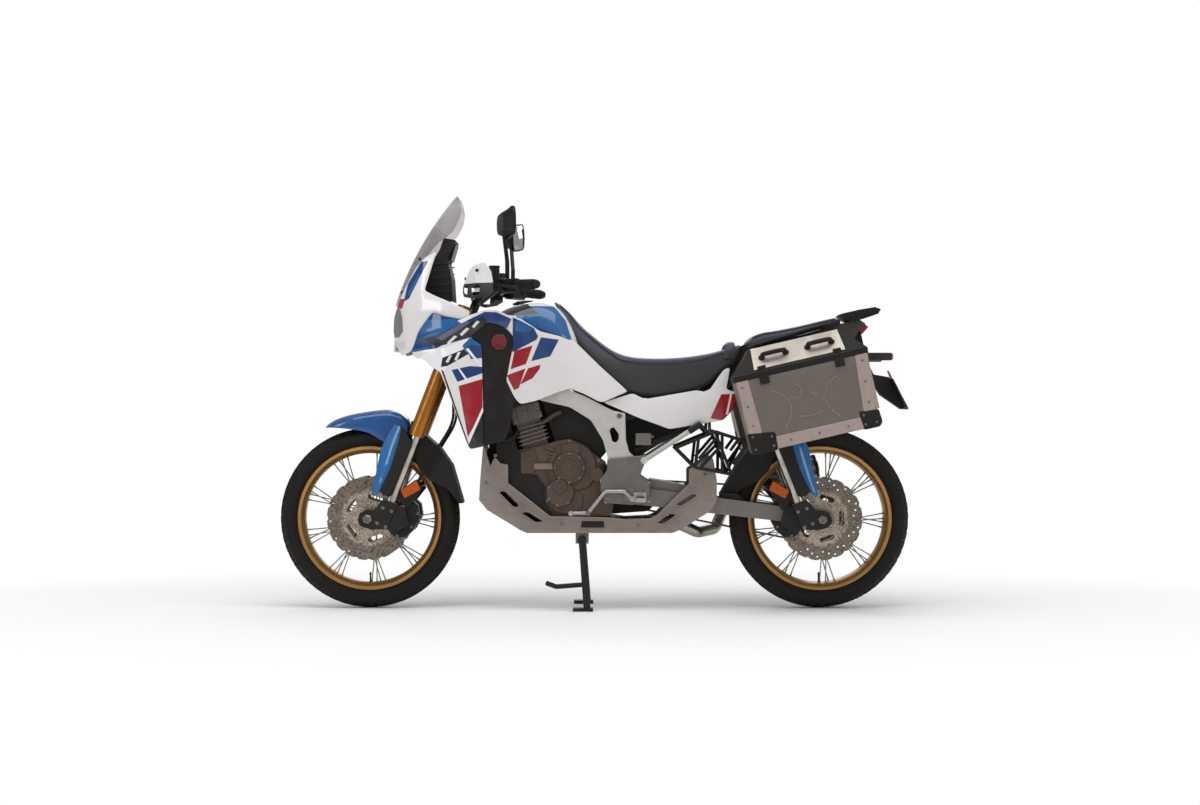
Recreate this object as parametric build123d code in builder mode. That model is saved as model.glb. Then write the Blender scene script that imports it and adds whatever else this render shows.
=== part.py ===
"""Adventure motorcycle with two aluminium side cases, standing on its centre stand.

Frame: X runs to the rear, Y to the rider's right, Z up, in millimetres. The origin is the floor point
midway between the axles. Outlines are tables of (x, z) points in the side view. Distances named
half, inner or outer are measured sideways from the centre plane. Each piece is built on the left side
(-Y) and mirrored, unless it stands on one side only.
"""

import os
from math import cos, pi, radians, sin

from build123d import *

os.makedirs("parts", exist_ok=True)

# ---------------------------------------------------------------- driving dimensions
# wheels
tyre_radius = 336.0
front_tyre_width = 100.0
rear_tyre_width = 130.0
rim_seat_radius = 262.0  # where the tyre's bead sits
rim_flange_height = 6.0
rim_depth = 21.0
spoke_count = 36
spoke_radius = 2.2
spoke_sweep = 34.0  # degrees between a spoke's two ends, seen from the side
hub_radius = 27.0
hub_flange_radius = 46.0
hub_flange_thickness = 6.0
disc_radius = 156.0
disc_thickness = 5.0
front_disc_face = 62.0  # from the centre plane to the disc's inner face
rear_disc_face = 76.0
axle_radius = 12.0
seat_gap = 0.3  # between pieces that sit on each other
running_gap = 0.1  # round a turning shaft

# steering head and fork
head_x = -493.0
head_z = 1011.0
rake = 21.0  # degrees from the vertical
clamp_offset = 25.0  # legs ahead of the steering axis
axle_lead = 57.0  # axle ahead of the legs
front_leg_half = 105.0  # leg centre from the centre plane
leg_tube_radius = 29.0  # the large upper tube
stanchion_radius = 21.0
stanchion_top = 350.0  # along the leg, from the axle
front_leg_top = 862.0
carrier_top = 92.0  # top of the cast axle carrier
carrier_half_width = 29.0
head_tube_radius = 34.0
head_tube_low = 690.0
head_tube_high = 812.0
stem_radius = 16.0
clamp_height = 30.0
clamp_wall = 8.0
bar_radius = 11.0
grip_radius = 17.0

# rear end
rear_axle_x = 840.0
rear_leg_half = 146.0
rear_leg_top = 600.0
arm_pivot_x = 130.0
arm_pivot_z = 420.0
arm_inner = 100.0
chain_line = 91.0
chain_width = 16.0
rear_sprocket_radius = 98.0
front_sprocket_radius = 38.0
front_sprocket_x = 22.0
front_sprocket_z = 440.0

# frame and body
spar_inner = 128.0
spar_outer = 158.0
panel_thickness = 5.0
tank_half = 150.0
seat_half = 140.0
skid_half = 140.0
skid_wall = 5.0
skid_floor = 285.0
subframe_half = 103.0
rail_radius = 13.0
rack_tube_radius = 8.0

# side cases
case_inner = 200.0
case_depth = 230.0
case_length = 461.0
case_height = 285.0
case_lid_height = 75.0
case_wall = 3.0
case_tilt = 13.0  # degrees, rear end up
case_x = 571.0  # lower front corner
case_z = 582.0

# centre stand
stand_x = -46.0
stand_z = 257.0
stand_half_top = 112.0
stand_half_foot = 176.0
stand_leg_radius = 13.0
stand_pin_radius = 8.0
stand_foot_x = -27.0

# ---------------------------------------------------------------- derived places
rim_flange_radius = rim_seat_radius + rim_flange_height  # outer edge of the rim
rim_inner_radius = rim_seat_radius - rim_depth
rake_sin = sin(radians(rake))
rake_cos = cos(radians(rake))
head_lead = clamp_offset + axle_lead  # axle ahead of the steering axis
axle_to_head = (head_z + head_lead * rake_sin - tyre_radius) / rake_cos
front_axle_x = head_x - axle_to_head * rake_sin - head_lead * rake_cos
axle_z = tyre_radius
front_axle = Vector(front_axle_x, 0, axle_z)
rear_axle = Vector(rear_axle_x, 0, axle_z)
stand_pivot = Vector(stand_x, 0, stand_z)

# local x runs across the leg away from its wheel's outer side, local z up the leg from the axle
fork_plane = Plane(front_axle, x_dir=(rake_cos, 0, -rake_sin), z_dir=(rake_sin, 0, rake_cos))
strut_plane = Plane(rear_axle, x_dir=(-rake_cos, 0, -rake_sin), z_dir=(-rake_sin, 0, rake_cos))
case_plane = Plane((case_x, 0, case_z), x_dir=(cos(radians(case_tilt)), 0, sin(radians(case_tilt))),
                   z_dir=(0, -1, 0))  # local x along the case, local y up it, local z to the left


def fork_point(across, side, along):
    """A point of the steering assembly, from its place across, beside and along the fork."""
    return fork_plane.from_local_coords(Vector(across, side, along))


def strut_point(across, side, along):
    return strut_plane.from_local_coords(Vector(across, side, along))


# ---------------------------------------------------------------- construction helpers
def side_plane(half):
    """A side-view plane on the left at this distance; it faces outwards."""
    return Plane((0, -half, 0), x_dir=(1, 0, 0), z_dir=(0, -1, 0))


def slab(outline, inner, outer, mode=Mode.ADD):
    """A side-view outline, extruded from inner to outer on the left side."""
    with BuildSketch(side_plane(inner)) as face:
        with BuildLine():
            Polyline(*outline, close=True)
        make_face()
    extrude(face.sketch, amount=outer - inner, mode=mode)


def plan_slab(outline, low, high, mode=Mode.ADD):
    """A plan outline of (x, y) points, extruded from low to high."""
    with BuildSketch(Plane.XY.offset(low)) as face:
        with BuildLine():
            Polyline(*outline, close=True)
        make_face()
    extrude(face.sketch, amount=high - low, mode=mode)


def rod(start, end, radius, mode=Mode.ADD):
    """A round bar between two points."""
    start = Vector(*start)
    run = Vector(*end) - start
    with BuildSketch(Plane(start, z_dir=run)) as section:
        Circle(radius)
    extrude(section.sketch, amount=run.length, mode=mode)


def cross_rod(x, z, inner, outer, radius, mode=Mode.ADD):
    """A round bar across the machine, from inner to outer on the left side."""
    rod((x, -inner, z), (x, -outer, z), radius, mode)


def beam(start, end, width, height):
    """A bar of rectangular section, width across the machine."""
    start = Vector(*start)
    run = Vector(*end) - start
    across = Vector(0, 0, 1).cross(run)
    with BuildSketch(Plane(start, x_dir=across, z_dir=run)) as section:
        Rectangle(width, height)
    extrude(section.sketch, amount=run.length)


def bent_tube(points, bend, radius):
    """A round tube along straight runs with bends of one radius."""
    with BuildLine() as path:
        FilletPolyline(*points, radius=bend)
    with BuildSketch(path.line ^ 0) as section:
        Circle(radius)
    sweep(section.sketch, path=path.line)


def hose(points, ends, radius):
    """A round hose along a smooth curve through the points; ends holds its two end directions."""
    with BuildLine() as path:
        Spline(*points, tangents=ends)
    with BuildSketch(path.line ^ 0) as section:
        Circle(radius)
    sweep(section.sketch, path=path.line)


def block(low, high, mode=Mode.ADD):
    """A box between two corners."""
    size = [b - a for a, b in zip(low, high)]
    middle = [(a + b) / 2 for a, b in zip(low, high)]
    with Locations(Location(tuple(middle))):
        Box(*size, mode=mode)


def wheel_ring(centre, profile):
    """A ring round an axle. profile holds (side, radius) points."""
    with BuildSketch(Plane(centre, x_dir=(0, 1, 0), z_dir=(1, 0, 0))) as section:
        with BuildLine():
            Polyline(*profile, close=True)
        make_face()
    revolve(section.sketch, axis=Axis(centre, (0, 1, 0)))


def leg_slab(plane, outline, inner, outer, mode=Mode.ADD):
    """An outline of (across, along) points on a leg, extruded from inner to outer on the left side."""
    facing = plane.x_dir.cross(plane.z_dir)
    with BuildSketch(Plane(plane.origin - Vector(0, inner, 0), x_dir=plane.x_dir, z_dir=facing)) as face:
        with BuildLine():
            Polyline(*outline, close=True)
        make_face()
    extrude(face.sketch, amount=(inner - outer) * facing.Y, mode=mode)


def leg_clearance(plane, half, radius):
    """Cuts away the round space that each leg fills."""
    low = plane.from_local_coords(Vector(axle_lead, 0, -40))
    high = plane.from_local_coords(Vector(axle_lead, 0, front_leg_top))
    for side in (Vector(0, -half, 0), Vector(0, half, 0)):
        rod(low + side, high + side, radius, mode=Mode.SUBTRACT)


def axle_clearance(centre, radius, inner, outer):
    """Cuts away the round space round an axle, from inner to outer on the left side."""
    rod(centre - Vector(0, inner, 0), centre - Vector(0, outer, 0), radius, mode=Mode.SUBTRACT)


def panel(outline, plan, thickness, narrowing=((0, 1.0),), gap=0.25):
    """A body panel: a side-view outline of (x, z), bent to a plan curve of (x, half) points.

    narrowing holds (height, factor) pairs that draw the plan curve in towards the top.
    """
    heights = [z for _, z in outline]
    if len(narrowing) == 1:
        narrowing = [(min(heights) - 5, 1.0), (max(heights) + 5, 1.0)]
    bands = []
    for height, factor in narrowing:
        outer = [(x, -half * factor) for x, half in plan]
        inner = [(x, thickness - half * factor) for x, half in reversed(plan)]
        with BuildSketch(Plane.XY.offset(height)) as band:
            with BuildLine():
                Polyline(*outer, *inner, close=True)
            make_face()
        bands.append(band.sketch.face())
    loft(bands, ruled=True)
    with BuildSketch(side_plane(0)) as face:
        with BuildLine():
            Polyline(*outline, close=True)
        make_face()
        offset(amount=-gap, kind=Kind.INTERSECTION)
    extrude(face.sketch, amount=max(half for _, half in plan) + 50, mode=Mode.INTERSECT)


def save(part, name):
    part.label = name
    export_step(part, f"parts/{name}.step")


def mirrored(outline):
    """The same outline at the other end of the machine."""
    return [(-x, z) for x, z in outline]


# ---------------------------------------------------------------- wheels
def tyre(centre, width, name):
    half = width / 2
    bead = half - 13
    bead_top = rim_flange_radius + 2
    shoulder = (half * 0.74, tyre_radius - 15)
    belly = (half, (bead_top + tyre_radius) / 2 - 4)
    with BuildPart() as piece:
        with BuildSketch(Plane(centre, x_dir=(0, 1, 0), z_dir=(1, 0, 0))) as section:
            with BuildLine():
                Polyline((-bead, bead_top), (-bead, rim_seat_radius), (bead, rim_seat_radius), (bead, bead_top))
                ThreePointArc((bead, bead_top), belly, shoulder)
                ThreePointArc(shoulder, (0, tyre_radius), (-shoulder[0], shoulder[1]))
                ThreePointArc((-shoulder[0], shoulder[1]), (-belly[0], belly[1]), (-bead, bead_top))
            make_face()
        revolve(section.sketch, axis=Axis(centre, (0, 1, 0)))
    save(piece.part, name)


def rim(centre, width, name):
    bead = width / 2 - 13
    flange_in = bead + seat_gap
    flange_out = flange_in + 5
    seat = rim_seat_radius - seat_gap
    profile = [(-flange_out, rim_flange_radius), (-flange_in, rim_flange_radius), (-flange_in, seat),
               (flange_in, seat), (flange_in, rim_flange_radius), (flange_out, rim_flange_radius),
               (flange_out, seat - 5), (flange_in - 12, rim_inner_radius + 7), (17, rim_inner_radius),
               (-17, rim_inner_radius), (12 - flange_in, rim_inner_radius + 7), (-flange_out, seat - 5)]
    with BuildPart() as piece:
        wheel_ring(centre, profile)
    save(piece.part, name)


def spoked_hub(centre, flange_half, left_face, right_face, spacer_half, name):
    """Hub barrel with two spoke flanges, faces for what bolts to it, and the laced spokes."""
    per_side = spoke_count // 2
    head_radius = hub_flange_radius - 6
    spokes = []
    for side in (-1, 1):
        for index in range(per_side):
            turn = 360.0 / per_side * (index + (0.25 if side > 0 else 0)) * pi / 180
            sweep_angle = radians(spoke_sweep) * (1 if index % 2 else -1)
            inner = centre + Vector(head_radius * sin(turn), side * (flange_half - 3), head_radius * cos(turn))
            reach = rim_inner_radius + 3
            outer = centre + Vector(reach * sin(turn + sweep_angle), side * 9, reach * cos(turn + sweep_angle))
            run = outer - inner
            spokes.append(Plane(inner, z_dir=run).location * Cylinder(
                spoke_radius, run.length, align=(Align.CENTER, Align.CENTER, Align.MIN), mode=Mode.PRIVATE))
    with BuildPart() as piece:
        wheel_ring(centre, [(-flange_half, hub_flange_radius), (hub_flange_thickness - flange_half, hub_flange_radius),
                            (hub_flange_thickness - flange_half, hub_radius),
                            (flange_half - hub_flange_thickness, hub_radius),
                            (flange_half - hub_flange_thickness, hub_flange_radius), (flange_half, hub_flange_radius),
                            (flange_half, 36), (right_face, 36), (right_face, axle_radius + 5),
                            (spacer_half, axle_radius + 5), (spacer_half, axle_radius + running_gap),
                            (-spacer_half, axle_radius + running_gap), (-spacer_half, axle_radius + 5),
                            (-left_face, axle_radius + 5), (-left_face, 36), (-flange_half, 36)])
        add(spokes)
    save(piece.part, name)


def brake_disc(centre, face):
    """One scalloped disc on the left, its inner face at this distance."""
    plane = Plane(centre - Vector(0, face, 0), x_dir=(1, 0, 0), z_dir=(0, -1, 0))
    with BuildSketch(plane) as section:
        Circle(disc_radius)
        with PolarLocations(disc_radius + 5, 20):
            Circle(9, mode=Mode.SUBTRACT)
        with PolarLocations(78, 5):
            SlotOverall(56, 17, rotation=90, mode=Mode.SUBTRACT)
        Circle(axle_radius + 5 + seat_gap, mode=Mode.SUBTRACT)
    extrude(section.sketch, amount=disc_thickness)


tyre(front_axle, front_tyre_width, "front_tyre")
tyre(rear_axle, rear_tyre_width, "rear_tyre")
rim(front_axle, front_tyre_width, "front_rim")
rim(rear_axle, rear_tyre_width, "rear_rim")
front_spacer_half = front_leg_half - carrier_half_width - seat_gap
rear_carrier_inner = rear_leg_half - carrier_half_width
sprocket_thickness = 7.0
sprocket_inner = chain_line - sprocket_thickness / 2
spoked_hub(front_axle, 34, front_disc_face, front_disc_face, front_spacer_half, "front_hub")
spoked_hub(rear_axle, 40, rear_disc_face, sprocket_inner, arm_inner - seat_gap, "rear_hub")

with BuildPart() as front_discs:
    brake_disc(front_axle, front_disc_face)
    mirror(about=Plane.XZ)
save(front_discs.part, "front_discs")

with BuildPart() as rear_disc:
    brake_disc(rear_axle, rear_disc_face)
save(rear_disc.part, "rear_disc")

# the driven sprocket, on the right
with BuildPart() as rear_sprocket:
    with BuildSketch(side_plane(-sprocket_inner - sprocket_thickness)) as section:
        with Locations((rear_axle_x, axle_z)):
            Circle(rear_sprocket_radius)
            Circle(axle_radius + 5 + seat_gap, mode=Mode.SUBTRACT)
            with PolarLocations(66, 6):
                Circle(12, mode=Mode.SUBTRACT)
    extrude(section.sketch, amount=sprocket_thickness)
save(rear_sprocket.part, "rear_sprocket")

# ---------------------------------------------------------------- fork and steering
# outlines of (across, along) points, for the legs at either end
carrier_outline = [(-32, -14), (-24, -26), (-6, -34), (30, -30), (axle_lead + 24, -8),
                   (axle_lead + 27, carrier_top), (axle_lead - 27, carrier_top), (10, 38), (-18, 28), (-32, 12)]
caliper_lug = [(axle_lead + 20, 88), (111, 94), (150, 36), (113, -13), (axle_lead + 20, -8)]
caliper_outline = [(86, 104), (116, 128), (155, 113), (178, 73), (171, 19), (153, -15), (118, -28), (86, -14)]
caliper_play = 5.0  # beside a disc
lug_thickness = 24.0


def leg_lowers(plane, half, lug_inner, name):
    """Cast axle carriers with the slim tubes above them, joined by the axle."""
    centre = plane.origin
    with BuildPart() as piece:
        leg_slab(plane, carrier_outline, half - carrier_half_width, half + carrier_half_width)
        leg_slab(plane, caliper_lug, lug_inner, lug_inner + lug_thickness)
        foot = plane.from_local_coords(Vector(axle_lead, 0, carrier_top - 10)) - Vector(0, half, 0)
        top = plane.from_local_coords(Vector(axle_lead, 0, stanchion_top)) - Vector(0, half, 0)
        rod(foot, top, stanchion_radius)
        mirror(about=Plane.XZ)
        rod(centre - Vector(0, half + 34, 0), centre + Vector(0, half + 34, 0), axle_radius)
    save(piece.part, name)


def caliper(plane, disc_face, outer):
    """A caliper on the left that straddles its disc."""
    slot_inner = disc_face - caliper_play
    slot_outer = disc_face + disc_thickness + caliper_play
    leg_slab(plane, caliper_outline, slot_inner - 11, outer)
    rod(plane.origin - Vector(0, slot_inner, 0), plane.origin - Vector(0, slot_outer, 0),
        disc_radius + 6, mode=Mode.SUBTRACT)


def leg_tubes(plane, half, top, name):
    """The large upper tubes."""
    with BuildPart() as piece:
        low = plane.from_local_coords(Vector(axle_lead, 0, stanchion_top)) - Vector(0, half, 0)
        high = plane.from_local_coords(Vector(axle_lead, 0, top)) - Vector(0, half, 0)
        rod(low, high, leg_tube_radius)
        mirror(about=Plane.XZ)
    save(piece.part, name)


front_lug_inner = front_leg_half - 1
leg_lowers(fork_plane, front_leg_half, front_lug_inner, "fork_lowers")
leg_lowers(strut_plane, rear_leg_half, rear_leg_half - 20, "strut_lowers")
leg_tubes(fork_plane, front_leg_half, front_leg_top, "fork_tubes")
leg_tubes(strut_plane, rear_leg_half, rear_leg_top, "strut_tubes")


def clamp(along):
    """One fork clamp: its lower face this far up the leg."""
    boss = leg_tube_radius + clamp_wall
    plane = Plane(fork_point(0, 0, along), x_dir=fork_plane.x_dir, z_dir=fork_plane.z_dir)
    with BuildSketch(plane) as section:
        with Locations((axle_lead, front_leg_half), (axle_lead, -front_leg_half)):
            Circle(boss)
        with Locations((head_lead - 4, 0)):
            Rectangle(2 * boss - 14, 2 * front_leg_half)
        with Locations((axle_lead, front_leg_half), (axle_lead, -front_leg_half)):
            Circle(leg_tube_radius + running_gap, mode=Mode.SUBTRACT)
    extrude(section.sketch, amount=clamp_height)


lower_clamp = head_tube_low - clamp_height - 2
upper_clamp = head_tube_high + 2
bar_clamp_rise = 46.0  # bar centre above the upper clamp
bar_centre = fork_point(head_lead, 0, upper_clamp + clamp_height + bar_clamp_rise)
with BuildPart() as fork_clamps:
    clamp(lower_clamp)
    clamp(upper_clamp)
    rod(fork_point(head_lead, 0, lower_clamp), fork_point(head_lead, 0, upper_clamp + clamp_height), stem_radius)
    for side in (-48, 48):  # handlebar risers
        rod(fork_point(head_lead, side, upper_clamp + clamp_height - 2),
            Vector(bar_centre.X, side, bar_centre.Z), 14)
    rod(Vector(bar_centre.X, -66, bar_centre.Z), Vector(bar_centre.X, 66, bar_centre.Z),
        bar_radius + seat_gap, mode=Mode.SUBTRACT)
save(fork_clamps.part, "fork_clamps")

# handlebar: (x, half, z) from the middle outwards
bar_end_x = -208.0
bar_end_half = 428.0
bar_bend_half = 185.0
bar_height = 1192.0
bar_corner = Vector(-375, -bar_bend_half, bar_height + 6)
bar_end = Vector(bar_end_x, -bar_end_half, bar_height - 2)
bar_route = [(bar_centre.X, 0, bar_centre.Z), (bar_centre.X, -96, bar_centre.Z), tuple(bar_corner), tuple(bar_end)]
grip_run = (bar_end - bar_corner).normalized()
grip_length = 128.0
grip_start = bar_end - grip_run * (grip_length + 6)
with BuildPart() as handlebar:
    bent_tube(bar_route, 45, bar_radius)
    mirror(about=Plane.XZ)
save(handlebar.part, "handlebar")

# rubber grips, switch housings, brake and clutch levers with their perches
control_end = grip_start - grip_run * 2
control_start = control_end - grip_run * 78
lever_root = control_start + Vector(-34, -8, 2)
lever_knuckle = lever_root + grip_run * 40 + Vector(-22, 0, -2)
lever_tip = bar_end - grip_run * 22 + Vector(-58, 0, -12)
pump = control_start + Vector(-30, 0, -12)  # inner end of the lever's fluid pump
reservoir = control_start + Vector(-35, -7, 4)  # foot of the fluid reservoir
reservoir_height = 60.0
with BuildPart() as controls:
    rod(grip_start, bar_end - grip_run * 4, grip_radius)
    rod(grip_start, grip_start + grip_run * 5, grip_radius + 6)
    with BuildSketch(Plane(control_start, x_dir=(0, 0, 1), z_dir=grip_run)) as section:
        with Locations((-4, 0)):
            RectangleRounded(52, 42, 10)
        Circle(bar_radius + running_gap, mode=Mode.SUBTRACT)
    extrude(section.sketch, amount=78)
    rod(pump, pump + grip_run * 60, 12)
    rod(reservoir, reservoir + Vector(0, 0, reservoir_height), 19)
    rod(lever_root - Vector(-22, 0, 0), lever_root + Vector(-6, -6, 0), 11)
    rod(lever_root, lever_knuckle, 6)
    rod(lever_knuckle, lever_tip, 6)
    with Locations(Location(tuple(lever_tip))):
        Sphere(8)
    rod(bar_corner + grip_run * 30, bar_end, bar_radius + running_gap, mode=Mode.SUBTRACT)
    mirror(about=Plane.XZ)
save(controls.part, "controls")

# mirrors: stem from the perch, and a pod that faces the rider
mirror_base = control_start + grip_run * 30 + Vector(-4, 0, 23.6)
mirror_rise = 220.0  # pod centre above the bar
mirror_pod = Vector(-312, -402, bar_height + mirror_rise)
with BuildPart() as mirrors:
    rod(mirror_base, mirror_base + Vector(0, -12, 60), 8)
    rod(mirror_base + Vector(0, -12, 60), mirror_pod + Vector(-14, 40, -30), 7.5)
    with Locations(Location(tuple(mirror_base + Vector(0, -12, 60)))):
        Sphere(8)
    with BuildSketch(Plane(mirror_pod - Vector(26, -6, 4), x_dir=(0.26, -1, 0.12), z_dir=(-1, -0.26, 0))) as back:
        RectangleRounded(112, 70, 30)
    with BuildSketch(Plane(mirror_pod + Vector(12, 0, 0), x_dir=(0.26, -1, 0.12), z_dir=(-1, -0.26, 0))) as front:
        RectangleRounded(158, 104, 40)
    loft([front.sketch.face(), back.sketch.face()])
    mirror(about=Plane.XZ)
save(mirrors.part, "mirrors")

# hand guards: a bent shield in front of each lever, seen in plan, on an arm clamped to the bar
guard_thickness = 6.0
guard_plan = [(-352, 446), (-425, 410), (-470, 330), (-478, 268)]  # outer face, (x, half)
guard_profile = [(-361, 4), (-368, 44), (-392, 76), (-425, 70), (-448, 52), (-472, 2), (-484, -18), (-470, -44),
                 (-430, -54), (-385, -46), (-361, -30)]  # (x, above the bar)
guard_windows = [[(-473, -8), (-456, -4), (-458, -36), (-470, -30)], [(-442, -10), (-408, -4), (-412, -40), (-438, -40)]]
guard_clamp = bar_corner + grip_run * 16
guard_arm = Vector(-468, -292, bar_height - 2)
with BuildPart() as hand_guards:
    inner_plan = [(x + 2, half - guard_thickness) for x, half in guard_plan]
    plan_slab([(x, -half) for x, half in guard_plan] + [(x, -half) for x, half in reversed(inner_plan)],
              bar_height - 60, bar_height + 80)
    slab([(x, bar_height + rise) for x, rise in guard_profile], 200, 500, mode=Mode.INTERSECT)
    for window in guard_windows:
        slab([(x, bar_height + rise) for x, rise in window], 200, 500, mode=Mode.SUBTRACT)
    rod(guard_clamp + grip_run * 9 + Vector(-12, 0, -2), guard_arm, 8)
    rod(guard_clamp, guard_clamp + grip_run * 18, bar_radius + 7)
    rod(guard_clamp - grip_run, guard_clamp + grip_run * 19, bar_radius + running_gap, mode=Mode.SUBTRACT)
    mirror(about=Plane.XZ)
save(hand_guards.part, "hand_guards")

# ---------------------------------------------------------------- mudguards and leg guards, front and rear
tyre_play = 9.0
fender_half = 66.0
fender_skin = 7.0
fender_outline = [(-1011, 675), (-978, 701), (-911, 723), (-818, 738), (-747, 744), (-724, 734), (-683, 701),
                  (-691, 664), (-700, 640), (-745, 600), (-780, 615), (-799, 626), (-832, 653), (-903, 667), (-948, 671)]
fender_under = [(-1030, 655), (-978, 694), (-911, 716), (-818, 731), (-748, 737), (-727, 727), (-687, 694),
                (-640, 640), (-640, 300), (-1030, 300)]
guard_seam = [(-715, 676), (-719, 642), (-731, 600), (-756, 517), (-793, 443)]  # between the two guards
leg_guard_upper = [(-741, 687)] + guard_seam[:3] + [(-789, 600), (-778, 627)]
leg_guard_lower = [(-731, 601)] + guard_seam[3:] + [(-808, 421), (-826, 421), (-815, 480), (-797, 572), (-789, 601)]
back_guard = [(x + 1.3 * seat_gap, z) for x, z in guard_seam] + [(-780, 424), (-752, 424), (-700, 546), (-675, 602),
                                                                 (-678, 627)]
flap_outline = [(-681, 698), (-640, 655), (-575, 597), (-531, 533), (-490, 392), (-503, 392), (-549, 448),
                (-613, 477), (-650, 515), (-672, 575), (-698, 638), (-688, 664)]
guard_skin = 8.0
guard_step = 3.0  # the dark guard lies this much inside the painted one
leg_bore = leg_tube_radius + seat_gap


def tyre_clearance(centre, width):
    """Cuts away the space that a tyre sweeps."""
    half = width / 2 + 8
    rod(centre - Vector(0, half, 0), centre + Vector(0, half, 0), tyre_radius + tyre_play, mode=Mode.SUBTRACT)


front_guard_inner = front_disc_face + disc_thickness + tyre_play
front_guard_outer = front_leg_half + leg_tube_radius + guard_skin
with BuildPart() as front_fender:
    slab(fender_outline, -fender_half, fender_half)
    slab(fender_under, fender_skin - fender_half, fender_half - fender_skin, mode=Mode.SUBTRACT)
    slab(leg_guard_upper, fender_half - fender_skin, front_guard_outer)
    slab(leg_guard_lower, front_guard_inner, front_guard_outer)
    leg_clearance(fork_plane, front_leg_half, leg_bore)
    mirror(about=Plane.XZ)
    tyre_clearance(front_axle, front_tyre_width)
save(front_fender.part, "front_fender")

with BuildPart() as fork_guards:
    slab(back_guard, front_guard_inner, front_guard_outer - guard_step)
    leg_clearance(fork_plane, front_leg_half, leg_bore)
    mirror(about=Plane.XZ)
    slab(flap_outline, -front_guard_inner - 2, front_guard_inner + 2)
    tyre_clearance(front_axle, front_tyre_width)
    leg_clearance(fork_plane, front_leg_half, leg_bore)
save(fork_guards.part, "fork_guards")

with BuildPart() as front_calipers:
    caliper(fork_plane, front_disc_face, front_lug_inner - seat_gap)
    mirror(about=Plane.XZ)
save(front_calipers.part, "front_calipers")

# brake hoses, from under the lower clamp to the calipers
hose_radius = 5.0
hose_half = 96.0
hose_top = fork_point(axle_lead + 39, -hose_half + 8, lower_clamp - seat_gap)
hose_foot = fork_point(116, -hose_half, 128 + seat_gap)
with BuildPart() as brake_hoses:
    hose([hose_top, (-524, -hose_half, 757), (-526, -hose_half, 704), (-568, -hose_half, 620), (-640, -hose_half, 500),
          hose_foot], (-fork_plane.z_dir, -fork_plane.z_dir), hose_radius)
    mirror(about=Plane.XZ)
save(brake_hoses.part, "brake_hoses")

# ---------------------------------------------------------------- swingarm, rear guards, rear brake and chain
arm_outer = rear_carrier_inner - seat_gap
link_outline = [(206, 483), (261, 475), (347, 457), (347, 400), (261, 388), (206, 391)]
link_bridge = [(214, 442), (330, 432), (330, 396), (214, 400)]
with BuildPart() as swingarm:
    slab([(arm_pivot_x - 36, arm_pivot_z + 10), (arm_pivot_x - 14, arm_pivot_z + 30), (arm_pivot_x + 90, arm_pivot_z + 26),
          (rear_axle_x, axle_z + 27), (rear_axle_x + 44, axle_z + 20), (rear_axle_x + 50, axle_z - 16),
          (rear_axle_x, axle_z - 26), (arm_pivot_x + 20, arm_pivot_z - 30), (arm_pivot_x - 30, arm_pivot_z - 24)],
         arm_inner, arm_outer)
    mirror(about=Plane.XZ)
    slab(link_bridge, -arm_inner - 2, arm_inner + 2)
    slab(link_outline, -76, arm_inner + 2)
    cross_rod(rear_axle_x, axle_z, -arm_outer - 1, arm_outer + 1, axle_radius + running_gap, mode=Mode.SUBTRACT)
    cross_rod(arm_pivot_x, arm_pivot_z, -arm_outer - 1, arm_outer + 1, 12 + running_gap, mode=Mode.SUBTRACT)
save(swingarm.part, "swingarm")

rear_guard_inner = arm_outer + 4
rear_guard_outer = rear_leg_half + leg_tube_radius + guard_skin
with BuildPart() as rear_leg_guards:
    slab(mirrored(leg_guard_upper), rear_guard_inner, rear_guard_outer)
    slab(mirrored(leg_guard_lower), rear_guard_inner, rear_guard_outer)
    leg_clearance(strut_plane, rear_leg_half, leg_bore)
    mirror(about=Plane.XZ)
save(rear_leg_guards.part, "rear_leg_guards")

with BuildPart() as rear_caliper:
    caliper(strut_plane, rear_disc_face, arm_inner - seat_gap)
save(rear_caliper.part, "rear_caliper")

# dark guards behind the painted ones, and the hugger in front of the tyre, held between the arms
hugger_outline = [(470, 425), (486, 385), (503, 392), (549, 448), (613, 477), (650, 515), (672, 575), (690, 664),
                  (689, 692), (640, 655), (575, 597), (531, 533)]
with BuildPart() as rear_hugger:
    slab(mirrored(back_guard), rear_guard_inner, rear_guard_outer - guard_step)
    leg_clearance(strut_plane, rear_leg_half, leg_bore)
    mirror(about=Plane.XZ)
    slab(hugger_outline, -76, 76)
    slab([(470, 372), (560, 372), (560, 400), (530, 430), (470, 430)], 66, arm_inner - seat_gap)
    slab([(470, 372), (560, 372), (560, 400), (530, 430), (470, 430)], -78, -66)
    tyre_clearance(rear_axle, rear_tyre_width)
    axle_clearance(rear_axle, disc_radius + 8, rear_disc_face - 6, rear_disc_face + 12)
save(rear_hugger.part, "rear_hugger")


def chain_hull(grow, mode=Mode.ADD):
    with BuildSketch(side_plane(-chain_line - chain_width / 2)) as section:
        with Locations((front_sprocket_x, front_sprocket_z)):
            Circle(front_sprocket_radius + grow)
        with Locations((rear_axle_x, axle_z)):
            Circle(rear_sprocket_radius + grow)
        make_hull()
    extrude(section.sketch, amount=chain_width, mode=mode)


with BuildPart() as chain:
    chain_hull(13)
    chain_hull(1, mode=Mode.SUBTRACT)
save(chain.part, "chain")

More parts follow.
